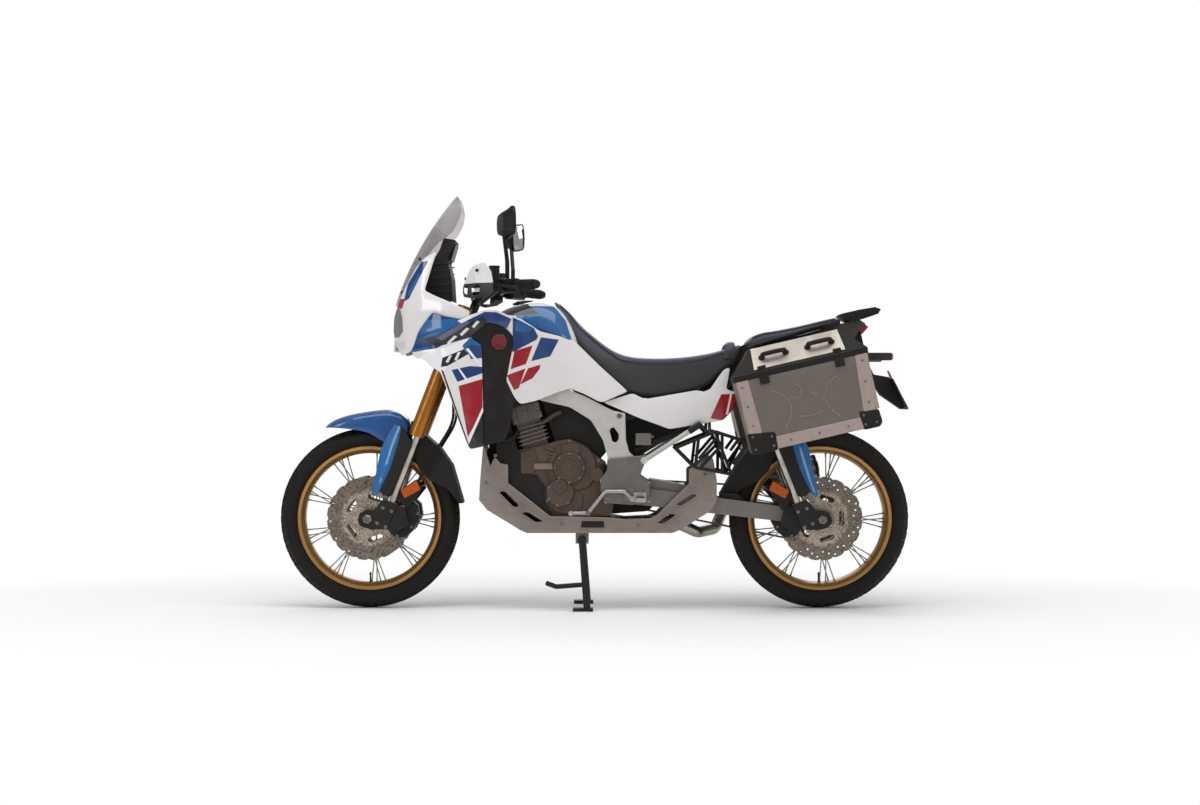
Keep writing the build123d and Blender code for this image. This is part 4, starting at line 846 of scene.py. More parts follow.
KNEE_PATCHES = [
    ("blue", [(-298, 1078), (-262, 1062), (-222, 1040), (-206, 1010), (-212, 997), (-300, 950)]),
    ("sky", [(-286, 1066), (-262, 1058), (-226, 1036), (-240, 1024), (-290, 1030)]),
    ("blue", [(-196, 1006), (-130, 998), (-162, 936), (-232, 918)]),
    ("red", [(-292, 956), (-226, 976), (-250, 908), (-306, 888)]),
    ("red", [(-320, 866), (-252, 892), (-276, 820), (-294, 812)]),
    ("red", [(-243, 892), (-198, 906), (-200, 890), (-226, 856), (-272, 832)]),
]
TANK_PATCHES = [
    ("sky", [(-222, 1124), (-150, 1124), (-106, 1070), (-84, 1000), (-200, 1030), (-290, 1060), (-290, 1120)]),
    ("blue", [(-300, 1075), (-200, 1040), (-84, 998), (-190, 1000), (-310, 1040)]),
    ("white", [(-128, 1130), (-96, 1072), (-76, 996), (-40, 980), (-40, 1140)]),
    ("white", [(-380, 1150), (-120, 1150), (-160, 1128), (-250, 1134), (-380, 1112)]),
    (NIGHT, [(-380, 1112), (-250, 1134), (-196, 1085), (-185, 1070), (-300, 1088), (-380, 1082)]),
]
NOSE_PATCHES = [
    ("blue", [(-706, 1140), (-690, 1206), (-640, 1286), (-612, 1290), (-640, 1236), (-684, 1150)]),
    ("sky", [(-690, 1168), (-650, 1240), (-640, 1240), (-680, 1160)]),
    ("red", [(-736, 1118), (-720, 1152), (-700, 1150), (-712, 1114)]),
    ((112, 111, 108), [(-760, 1008), (-762, 1062), (-748, 1100), (-733, 1124), (-720, 1116), (-710, 1076),
                       (-708, 1030), (-724, 1008)]),
    ((206, 206, 204), [(-752, 962), (-752, 992), (-702, 994), (-698, 966)]),
]


def screen_glass(name):
    """Smoky moulded screen, thicker looking at its rim."""
    shader = Shader(name, Base_Color=(150, 138, 140), Transmission_Weight=0.75, IOR=1.49, Roughness=0.06)
    rim = shader.range(shader.axes()[2], 1.18, 1.53)
    haze = shader.range(shader.noise(6, 3), 0.3, 0.8)
    return shader.set(Alpha=shader.range(haze - rim * 0.4, -0.4, 0.8, 0.40, 0.62),
                      Normal=shader.bump(shader.noise(30, 2), 0.04, 0.3))


def brushed_case(name):
    """Brushed sheet with dull stains and rubbed edges."""
    shader = Shader("brushed " + name, Metallic=0.55)
    lines = shader.noise(300, 4, shader.stretch(0.06, 1, 1.4))
    stain = shader.range(shader.noise(7, 6), 0.42, 0.78)
    paint = shader.mix(shader.range(lines, 0.35, 0.65) * 0.30, "case_metal", tone("case_metal", 0.72))
    paint = shader.mix(stain * 0.22, paint, tone("case_metal", 0.6))
    paint = shader.mix(shader.edge_wear() * 0.4, paint, "trim_metal")
    return shader.set(Base_Color=paint, Roughness=shader.range(lines + stain * 0.3, 0.3, 0.9, 0.36, 0.6),
                      Normal=shader.bump(lines, 0.03, 0.5))


def disc_steel(name):
    """Disc steel with a paler carrier inside the braking band, partly a painted highlight, browned by heat and dust."""
    shader = Shader(name, Metallic=0.85)
    x, _, z = shader.axes()
    reach = shader.reach(shader.math("ABSOLUTE", x), z, REAR_AXLE)
    dust = shader.range(shader.noise(160, 4) + shader.noise(30, 3) * 0.4, 0.55, 0.9)
    # paler inside the braking band: the carrier's own tone, lightened as a painted highlight
    carrier_and_highlight = shader.range(reach, 0.108, 0.100)
    paint = shader.mix(carrier_and_highlight, (150, 138, 126), (206, 190, 172))
    paint = shader.mix(dust * 0.8, paint, (64, 52, 42))
    return shader.set(Base_Color=paint, Roughness=shader.range(dust, 0, 1, 0.3, 0.6),
                      Normal=shader.bump(shader.noise(900, 2), 0.03, 0.6))


def heat_steel(name):
    """Stainless pipe, straw to blue where it runs hot near the engine."""
    shader = Shader(name, Metallic=1.0)
    heat = shader.range(shader.axes()[0] + shader.noise(9, 4) * 0.12, 0.15, -0.32)
    tint = shader.node("ValToRGB", {"stops": [(0.0, (172, 166, 158)), (0.4, (176, 150, 110)),
                                              (0.7, (130, 92, 84)), (1.0, (88, 92, 120))]},
                       {0: heat})
    lines = shader.noise(260, 4, shader.stretch(0.2, 1, 1))
    return shader.set(Base_Color=tint, Roughness=shader.range(lines, 0.3, 0.7, 0.22, 0.4),
                      Normal=shader.bump(lines, 0.02, 0.5))


def lamp_lens(name, shade):
    """A coloured lens with moulded prisms."""
    shader = Shader(name, Coat_Weight=0.3, Coat_Roughness=0.1, Specular_IOR_Level=0.25)
    cells = shader.range(shader.cells(210), 0.1, 0.7)
    return shader.set(Base_Color=shader.mix(cells * 0.6, tone(shade, 1.25), tone(shade, 0.4)),
                      Roughness=shader.range(cells, 0, 1, 0.12, 0.3), Normal=shader.bump(cells, 0.6, 0.7))


def two_metals(name, first, second, mask_of):
    """A node of two metals: mask_of(shader) is 1 where the second one is. Each is (colour, roughness, metallic)."""
    shader = Shader(name)
    mask = mask_of(shader)
    stain = shader.range(shader.noise(16, 6), 0.42, 0.75)
    paint = shader.mix(mask, first[0], second[0])
    paint = shader.mix(stain * 0.35, paint, (62, 54, 46))
    level = shader.range(mask, 0, 1, first[1], second[1])
    return shader.set(Base_Color=paint, Metallic=shader.range(mask, 0, 1, first[2], second[2]),
                      Roughness=level + stain * 0.18, Normal=shader.bump(shader.noise(600, 4), 0.12, 0.5))


def hub_and_spokes(name, axle):
    """A dark hub with bright spokes beyond its flanges."""
    def spokes(shader):
        x, _, z = shader.axes()
        return shader.reach(x, z, axle) > 0.0475
    return two_metals(name, ((58, 54, 50), 0.45, 0.6), (STEEL, 0.3, 1.0), spokes)


def legs(name, axle, lean):
    """Cast foot, then a bright tube above it."""
    def tube(shader):
        x, _, z = shader.axes()
        return (x - axle.x * MM) * (sin(RAKE) * lean) + (z - axle.z * MM) * cos(RAKE) > 0.0915
    return two_metals(name, ((20, 19, 18), 0.5, 0.25), ((188, 184, 178), 0.16, 1.0), tube)


# the function that makes each finish, and what it takes besides the name
FINISHES = {
    "wing paint": (lacquer, "blue", WING_PATCHES),
    "lower paint": (lacquer, "white", WING_PATCHES),
    "knee paint": (lacquer, "white", KNEE_PATCHES),
    "tank paint": (lacquer, "white", TANK_PATCHES),
    "nose paint": (lacquer, "white", NOSE_PATCHES),
    "tail paint": (lacquer, "white", [("red", [(427, 709), (467, 797), (541, 800), (560, 740), (475, 700)]),
                                      (EDGE_WHITE, [(500, 797), (507, 799), (492, 724), (484, 722)])]),
    "blue paint": (lacquer, "sky", [("blue", [(-1020, 650), (-1020, 716), (-860, 738), (-700, 716), (-700, 640),
                                              (-790, 600)])], 0.25),
    "guard paint": (lacquer, "sky", (), 0.25),
    "guard and arm": (lacquer, "white", [(NIGHT, [(-520, 1100), (-520, 1195), (-300, 1195), (-300, 1100)])], 0, 0.15),
    "tail lamp paint": (lacquer, NIGHT, [(SIGNAL_RED, [(980, 1010), (980, 1070), (1040, 1070), (1040, 1010)])]),
    "cap red": (lacquer, (110, 12, 28)),
    "black plastic": (plastic, (20, 18, 16)),
    "satin plastic": (plastic, (15, 14, 14), 0.32, 1500, 0.05),
    "grey plastic": (plastic, (50, 47, 44), 0.45),
    "display glass": (plastic, (20, 22, 26), 0.08, 90, 0),
    "plate blank": (plastic, (190, 190, 186), 0.35, 600, 0.03),
    "tyre rubber": (rubber, (0.007, 0.006, 0.005, 1)),
    "grip rubber": (rubber, (0.009, 0.009, 0.008, 1)),
    "seat vinyl": (vinyl,),
    "lamp glass": (glass, (0.9, 0.9, 0.9, 1), 0.03, 0.45),
    "smoky screen": (screen_glass,),
    "orange lens": (lamp_lens, (186, 82, 0)),
    "red lens": (lamp_lens, SIGNAL_RED),
    "disc steel": (disc_steel,),
    "exhaust steel": (heat_steel,),
    "case metal": (brushed_case,),
    "hub and spokes front": (hub_and_spokes, FRONT_AXLE),
    "hub and spokes rear": (hub_and_spokes, REAR_AXLE),
    "fork legs": (legs, FRONT_AXLE, 1),
    "strut legs": (legs, REAR_AXLE, -1),
    # colour, roughness, dirt, metallic, cast grain, stretch of the brushing
    "rim gold": (metal, "gold", 0.34, 0.3, 0.75),
    "fork amber": (metal, "amber", 0.24, 0.2, 0.85, 0, (1, 1, 0.05)),
    "spoke steel": (metal, STEEL, 0.3, 0.3),
    "bolt steel": (metal, (128, 124, 118), 0.32, 0.4),
    "black metal": (metal, (24, 22, 21), 0.42, 0.3, 0.3, 0.1),
    "frame paint": (metal, "silver", 0.4, 0.18, 0.25, 0.12),
    "pivot alloy": (metal, (112, 108, 104), 0.44, 0.4, 0.5, 0.25),
    "guard metal": (metal, "guard", 0.42, 0.3, 0.55, 0, (0.12, 1, 1)),
    "engine paint": (metal, "bronze", 0.46, 0.45, 0.35, 0.3),
    "engine light": (metal, (128, 112, 98), 0.42, 0.4, 0.4, 0.2),
    "block grey": (metal, (104, 95, 88), 0.48, 0.4, 0.35, 0.3),
    "core metal": (metal, (46, 44, 42), 0.5, 0.4, 0.6),
    "trim metal": (metal, "trim_metal", 0.36, 0.25, 0.5, 0, (1, 1, 0.06)),
    "lid metal": (metal, (166, 158, 148), 0.34, 0.15, 0.5, 0, (0.06, 1, 1)),
    "chain steel": (metal, (96, 88, 78), 0.38, 0.6),
    "lever steel": (metal, (176, 172, 168), 0.26, 0.25, 0.8),
    "mirror glass": (metal, (212, 214, 216), 0.04, 0.06),
    "reflector bowl": (metal, (214, 212, 208), 0.12, 0.1),
}
made_finishes = {}


def finish(name):
    """The material of this name, made when it is first asked for."""
    if name not in made_finishes:
        maker, *values = FINISHES[name]
        made_finishes[name] = maker(name, *values)
    return made_finishes[name]


def paint_nodes(**nodes):
    """Gives frame nodes their finishes."""
    for node, name in nodes.items():
        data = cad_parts[node].data
        data.materials.clear()
        data.materials.append(finish(name))




# ---- places shared by the pieces
FORK_UP = Vector((sin(RAKE), 0, cos(RAKE)))
FORK_ACROSS = Vector((cos(RAKE), 0, -sin(RAKE)))
FORK_OFFSET = 57.0
FORK_HALF = 105.0
STRUT_HALF = 146.0
TYRE_RADIUS = 336.0
DISC_RADIUS = 156.0
DISC_THICKNESS = 5.0
BEAD_INSET = 13.0  # from a tyre's widest place to its bead
TREAD_SHARE = 0.74  # of a tyre's half width that lies under the tread
CROWN_RISE = 15.0  # of the tread's middle over its edges
SIDEWALL_RINGS = (281.5, 0.35), (309, 0.6)  # radius, and how far each stands out
SPOKE_GROUPS = 9  # four spokes each
SPOKE_SWEEP = radians(34)  # between a spoke's two ends
CASE_TILT = radians(13)
CASE_CORNER = Vector((571, 0, 582))
WING_PLAN = [(-760, 40), (-744, 66), (-700, 130), (-640, 182), (-560, 214), (-450, 238), (-330, 240), (-250, 210)]
KNEE_PLAN = [(-330, 240), (-250, 210), (-120, 176), (0, 170), (130, 168)]


def fork_point(across, side, up):
    return FRONT_AXLE + FORK_ACROSS * across + FORK_UP * up + Vector((0, side, 0))


def strut_point(across, side, up):
    """The same place on the rear struts, which lean the other way."""
    place = FORK_ACROSS * across + FORK_UP * up
    return REAR_AXLE + Vector((-place.x, side, place.z))


def case_point(run, side, up):
    """A point of the left side case, from its lower front corner."""
    return CASE_CORNER + Vector((run * cos(CASE_TILT) - up * sin(CASE_TILT), -side,
                                 run * sin(CASE_TILT) + up * cos(CASE_TILT)))


def circle(x, z, radius, steps=24):
    return [(x + radius * cos(a), z + radius * sin(a)) for a in around(steps)]


def slot(x0, z0, x1, z1, radius, steps=6):
    """A rounded slot between two centres."""
    lean = atan2(z1 - z0, x1 - x0)
    ends = [(x1, z1, lean - pi / 2), (x0, z0, lean + pi / 2)]
    return [(x + radius * cos(start + pi * k / steps), z + radius * sin(start + pi * k / steps))
            for x, z, start in ends for k in range(steps + 1)]


# ---- wheels
def tread_pitch(crown, half, depth, pitch):
    """One pitch of the tread: a staggered pair of centre blocks with shoulder blocks beside them."""
    shape = Shape("tyre rubber")
    # (start, end, inner side, outer side, skew) as shares of the pitch and of the tread's half width
    blocks = [(0.06, 0.62, 0.03, 0.30, 0.14), (0.52, 1.06, -0.30, -0.03, -0.14), (0.10, 0.66, 0.38, 0.66, 0.22),
              (0.56, 1.10, -0.66, -0.38, -0.22), (0.02, 0.60, 0.74, 1.10, 0.10), (0.50, 1.06, -1.10, -0.74, -0.10)]
    for start, end, near, far, skew in blocks:
        rings = []
        for share in (0.0, 0.5, 1.0):
            v = (near + (far - near) * share) * half * TREAD_SHARE
            shift = skew * (share - 0.5)
            corners = []
            for u, lift in ((start + shift + 0.02, 0.0), (end + shift - 0.02, 0.0), (end + shift, -1.4),
                            (end + shift, -depth - 1), (start + shift, -depth - 1), (start + shift, -1.4)):
                angle = u * pitch
                radius = crown(v) + lift
                corners.append((radius * sin(angle), v, radius * cos(angle)))
            rings.append(corners)
        shape.rings(rings)
    return shape


def make_tyre(name, centre, width, body, node):
    """A tyre with a square-shouldered profile, rings on its sidewalls and blocks of tread."""
    half, bead = width / 2, width / 2 - BEAD_INSET
    edge = half * TREAD_SHARE
    bow = (edge ** 2 + CROWN_RISE ** 2) / (2 * CROWN_RISE)  # radius of the tread's arc
    depth = size("tread_depth")

    def crown(side):
        return TYRE_RADIUS - bow + sqrt(max(bow * bow - side * side, 0.0))

    wall = [(bead, 262), (bead, 270), (bead + 3.5, 275), (bead + 7, 278.5), (half - 3.2, 285), (half - 0.8, 292),
            (half, 299), (half - 0.6, 306), (half - 2.6, 312), (edge + 6, 318 - depth * 0.4),
            (edge + 1.5, crown(edge) - depth * 0.8)]
    tread = [(side, crown(side) - depth) for side in np.linspace(edge - 3, 3 - edge, 13)]
    shape = Shape("tyre rubber")
    shape.hoop(centre, [*wall, *tread, *[(-side, radius) for side, radius in reversed(wall)]], 144)
    for side in (-1, 1):
        for radius, push in SIDEWALL_RINGS:
            at = half - (3.8 if radius < 300 else 1.6)
            shape.hoop(centre, [(side * (at - 2), radius - 2), (side * (at + push), radius - 1.2),
                                (side * (at + push), radius + 1.2), (side * (at - 2), radius + 2)], 144)
    shape.build(name, body, [node], angle=radians(50))
    rows = bpy.context.scene.motorcycle_sizes.tread_rows
    grown(name + "_tread", body, ring_tree, "tyre rubber", tread_pitch(crown, half, depth, 2 * pi / rows),
          Count=rows, Centre=centre * MM)


def make_rim(name, centre, width, flange, body, node):
    """A rim with the spokes' nipples and its valve."""
    inner = width / 2 - BEAD_INSET + 0.3
    outer = inner + 5
    side = [(inner, 261.7), (inner, 267.2), (inner + 1, 268), (outer - 0.8, 268), (outer, 267), (outer, 258),
            (outer - 2, 255), (inner - 4, 252), (inner - 9, 249.5), (inner - 13, 247.2), (20, 242.2), (15, 241.1)]
    shape = Shape("rim gold")
    shape.hoop(centre, [*side, *[(-y, radius) for y, radius in reversed(side)]], 144)
    shape.build(name, body, [node])
    nipples = Shape("spoke steel")
    for hand in (-1, 1):
        for index in (0, 1):
            turn = radians(180 / SPOKE_GROUPS * (index + (0.25 if hand > 0 else 0)))
            lean = turn + SPOKE_SWEEP * (1 if index else -1)
            rim_end = Vector((243 * sin(lean), hand * 9, 243 * cos(lean)))
            hub_end = Vector((40 * sin(turn), hand * (flange - 3), 40 * cos(turn)))
            run = (hub_end - rim_end).normalized()
            nipples.turned(rim_end - run * 3, run, [(0, 4.6), (5, 4.2), (6, 3.2), (17, 3.0), (18, 2.4)], 8)
    grown(name + "_nipples", body, ring_tree, "spoke steel", nipples, Count=SPOKE_GROUPS, Centre=centre * MM)
    valve = Shape("black metal")
    valve.turned(centre + Vector((0, 0, -242)), (0, 0, 1), [(0, 5), (3, 5), (4, 3.2), (26, 3.2), (27, 4), (36, 4),
                                                         (37, 2.5)], 12)
    valve.build(name + "_valve", body)


def disc_loops(centre):
    """A brake disc's scalloped rim, its bore, its five windows and its drilled holes."""
    x, z = centre.x, centre.z
    rim = []
    for turn in around(240):
        radius = DISC_RADIUS - 5 * max(0.0, cos(20 * turn)) ** 2
        rim.append((x + radius * cos(turn), z + radius * sin(turn)))
    loops = [rim, circle(x, z, 17.6)]
    for turn in around(5):
        mid = Vector((x + 78 * cos(turn), z + 78 * sin(turn)))
        run = Vector((-sin(turn), cos(turn))) * 20
        loops.append(slot(*(mid - run), *(mid + run), 8.6))
    for k, turn in enumerate(around(40, 0.5)):
        radius = (124, 134, 143)[k % 3]
        loops.append(circle(x + radius * cos(turn), z + radius * sin(turn), 3.4, 8))
    return loops


def make_disc(name, centre, face, body, node, both):
    """A brake disc on one or both sides of a wheel, with the round buttons that hold it to its carrier."""
    outer = face + DISC_THICKNESS
    shape = Shape("disc steel")
    shape.plate(disc_loops(centre), face, outer, 0.5)
    buttons = [((x, -outer, z), LEFT) for x, z in circle(centre.x, centre.z, 104, 10)]
    if both:
        shape.mirror()
        buttons = both_sides(buttons)
    shape.build(name, body, [node], merge=0.01)
    bolts(name + "_buttons", body, buttons, 6.0)


class MOTORCYCLE_OT_wheels(bpy.types.Operator):
    """Tyres with tread, gold rims, spoke nipples and brake discs"""
    bl_idname = "motorcycle.wheels"
    bl_label = "Wheels"

    def execute(self, context):
        ends = (("front", FRONT_AXLE, 100, 34), ("rear", REAR_AXLE, 130, 40))
        for end, axle, width, _ in ends:
            make_tyre(end + "_tyre_rubber", axle, width, end + "_wheel", end + "_tyre")
        for end, axle, width, flange in ends:
            make_rim(end + "_wheel_rim", axle, width, flange, end + "_wheel", end + "_rim")
        make_disc("front_disc_pair", FRONT_AXLE, 62, "front_wheel", "front_discs", True)
        make_disc("rear_disc_plate", REAR_AXLE, 76, "rear_wheel", "rear_disc", False)
        paint_nodes(front_hub="hub and spokes front", rear_hub="hub and spokes rear", rear_sprocket="chain steel")
        return {"FINISHED"}


# ---- fork, struts and mudguards
class MOTORCYCLE_OT_fork(bpy.types.Operator):
    """Fork and rear strut finishes, clamps and calipers"""
    bl_idname = "motorcycle.fork"
    bl_label = "Fork and struts"

    def bolts_and_caps(self):
        """The bolts at the legs' feet, and the caps on the fork tubes."""
        for name, body, place, half in (("fork_foot_bolts", "steering", fork_point, FORK_HALF),
                                        ("strut_foot_bolts", "chassis", strut_point, STRUT_HALF)):
            spots = [place(across, -half - 28.5, up) for across, up in ((40, 60), (74, 60), (40, 0), (74, -2))]
            bolts(name, body, flanks(spots), size("bolt"))
        caps = Shape("black metal")
        for side in (-1, 1):
            low = fork_point(FORK_OFFSET, side * FORK_HALF, 858)
            caps.turned(low, FORK_UP, [(0, 26.4), (4, 27), (5, 25), (6.2, 24), (6.8, 15), (8, 14), (8, 0)], 32)
        caps.build("fork_caps", "steering")

    def calipers(self):
        """Round caps and bolt heads on the calipers' outer faces."""
        for name, body, place, sides, outer in (("front_caliper_caps", "steering", fork_point, (-1, 1), 103.7),
                                                ("rear_caliper_caps", "chassis", strut_point, (-1,), 99.7)):
            cap = Shape("black metal", "bolt steel")
            for side in sides:
                for across, up in ((143, 103), (162, 60), (147, 2)):
                    cap.use("black metal").turned(place(across, side * (outer - 1), up), (0, side, 0),
                                                  [(0, 13.5), (4, 13.5), (5, 12.5), (5, 9), (3.5, 8), (3.5, 0)], 24)
                for across, up in ((122, 113), (166, 84), (162, 30), (124, -20)):
                    cap.use("bolt steel").turned(place(across, side * (outer - 1), up), (0, side, 0),
                                                 [(0, 6), (5, 6), (6, 5), (6, 3), (3, 2.6), (3, 0)], 6)
            cap.build(name, body)

    def axle_nuts(self):
        for name, body, centre, half in (("axle_nuts_front", "steering", FRONT_AXLE, 139),
                                         ("axle_nuts_rear", "chassis", REAR_AXLE, 180)):
            nuts = Shape("bolt steel")
            for side in (-1, 1):
                nuts.turned(centre + Vector((0, side * (half - 6), 0)), (0, side, 0),
                            [(0, 17), (5, 17), (6, 15.5), (10, 15.5), (11, 14), (11, 8), (7, 7), (7, 0)], 6)
            nuts.build(name, body)

    def reflectors(self):
        """Orange reflectors in black holders beside the legs."""
        for name, body, hand, half in (("fork_reflectors", "steering", 1, FORK_HALF),
                                       ("strut_reflectors", "chassis", -1, STRUT_HALF)):
            lens = Shape("orange lens", "black plastic")
            for use, radius, low, high, edge, loop in (
                    ("orange lens", 5, 13, 20, 2, [(-717, 442), (-658, 479), (-643, 445), (-703, 412)]),
                    ("black plastic", 5, 7, 13.5, 1, [(-722, 440), (-658, 484), (-638, 444), (-676, 396), (-690, 372),
                                                      (-706, 362), (-718, 392)])):
                loop = [(hand * x, z) for x, z in loop]
                lens.use(use).plate([rounded(loop, radius)], half + low, half + high, edge)
            lens.mirror().build(name, body)

    def execute(self, context):
        paint_nodes(fork_tubes="fork amber", strut_tubes="fork amber", fork_lowers="fork legs",
                    strut_lowers="strut legs", fork_clamps="black metal", front_calipers="black metal",
                    rear_caliper="black metal", fork_guards="black plastic", rear_hugger="black plastic",
                    swingarm="pivot alloy")
        self.bolts_and_caps()
        self.calipers()
        self.axle_nuts()
        self.reflectors()
        return {"FINISHED"}




# ---- bodywork
NOSE = [(-738, 977), (-749, 1032), (-746, 1083), (-724, 1146), (-694, 1204), (-658, 1267), (-625, 1303), (-581, 1325),
        (-595, 1281), (-625, 1179), (-581, 1157), (-529, 1135), (-482, 1113), (-456, 1102), (-454, 1086), (-487, 1071),
        (-546, 1082), (-593, 1097), (-623, 1060), (-648, 1024), (-666, 976), (-677, 954), (-713, 940)]
UPPER = [(-593, 1097), (-546, 1082), (-487, 1071), (-454, 1086), (-403, 1104), (-356, 1104), (-301, 1080),
         (-319, 1036), (-356, 1053), (-392, 1060), (-454, 1005), (-509, 984), (-553, 969), (-677, 954), (-666, 976),
         (-648, 1024), (-623, 1060)]
LOWER = [(-677, 954), (-655, 929), (-630, 929), (-601, 900), (-564, 878), (-517, 757), (-465, 618), (-454, 596),
         (-403, 607), (-411, 976), (-454, 1005), (-509, 984), (-553, 969)]
SHROUD = [(-454, 1005), (-392, 1060), (-356, 1053), (-319, 1036), (-297, 1009), (-297, 976), (-308, 921), (-322, 848),
          (-293, 786), (-299, 720), (-310, 666), (-326, 629), (-403, 607), (-411, 976)]
KNEE = [(-301, 1080), (-273, 1076), (-199, 1028), (-126, 1010), (-64, 984), (21, 900), (123, 808), (32, 768),
        (13, 772), (-34, 797), (-89, 819), (-126, 808), (-181, 786), (-218, 772), (-271, 761), (-293, 786),
        (-322, 848), (-308, 921), (-297, 976), (-297, 1009), (-319, 1036)]
COVER = [(32, 768), (141, 801), (185, 779), (376, 812), (398, 805), (427, 816), (453, 856), (478, 889), (500, 896),
         (493, 852), (486, 816), (541, 797), (515, 746), (475, 702), (387, 687), (277, 669), (167, 709)]
COVER_HALF = 157.5
NOSE_HALF = 122
LEG_SLOPE = 0.384  # x over z along a leg


def wing_half(x, _):
    return along(WING_PLAN, x)


def nose_half(x, z):
    return along(WING_PLAN, x) * along([(930, 1.0), (1110, 1.0), (1340, 0.7)], z)


def knee_half(x, _):
    return along(KNEE_PLAN, x)


def ease(value, low, high):
    """0 below low, 1 above high, smooth between."""
    t = min(1.0, max(0.0, (value - low) / (high - low)))
    return t * t * (3 - 2 * t)


def knee_relief(x, z):
    """The knee hollow, and the crease that runs back from the tank's shoulder."""
    crease = 980 - 0.9 * (x + 200)
    return 5 * ease(z, crease - 30, crease) - 4 * ease(z, 930 - 0.5 * x, 990 - 0.5 * x)


def upper_relief(x, z):
    """A step under the fairing's top edge, and the scoop behind the lamp."""
    step = 1018 + 0.18 * (x + 500)
    return 6 * ease(z, step, step + 12) - 7 * ease(-abs(x + 590) * 0.8 - abs(z - 985), -34, -16)


def lower_relief(x, z):
    """A fold along the fairing's front edge."""
    edge = -560 + (878 - z) * 0.37
    return 5 * ease(x, edge + 16, edge + 24)


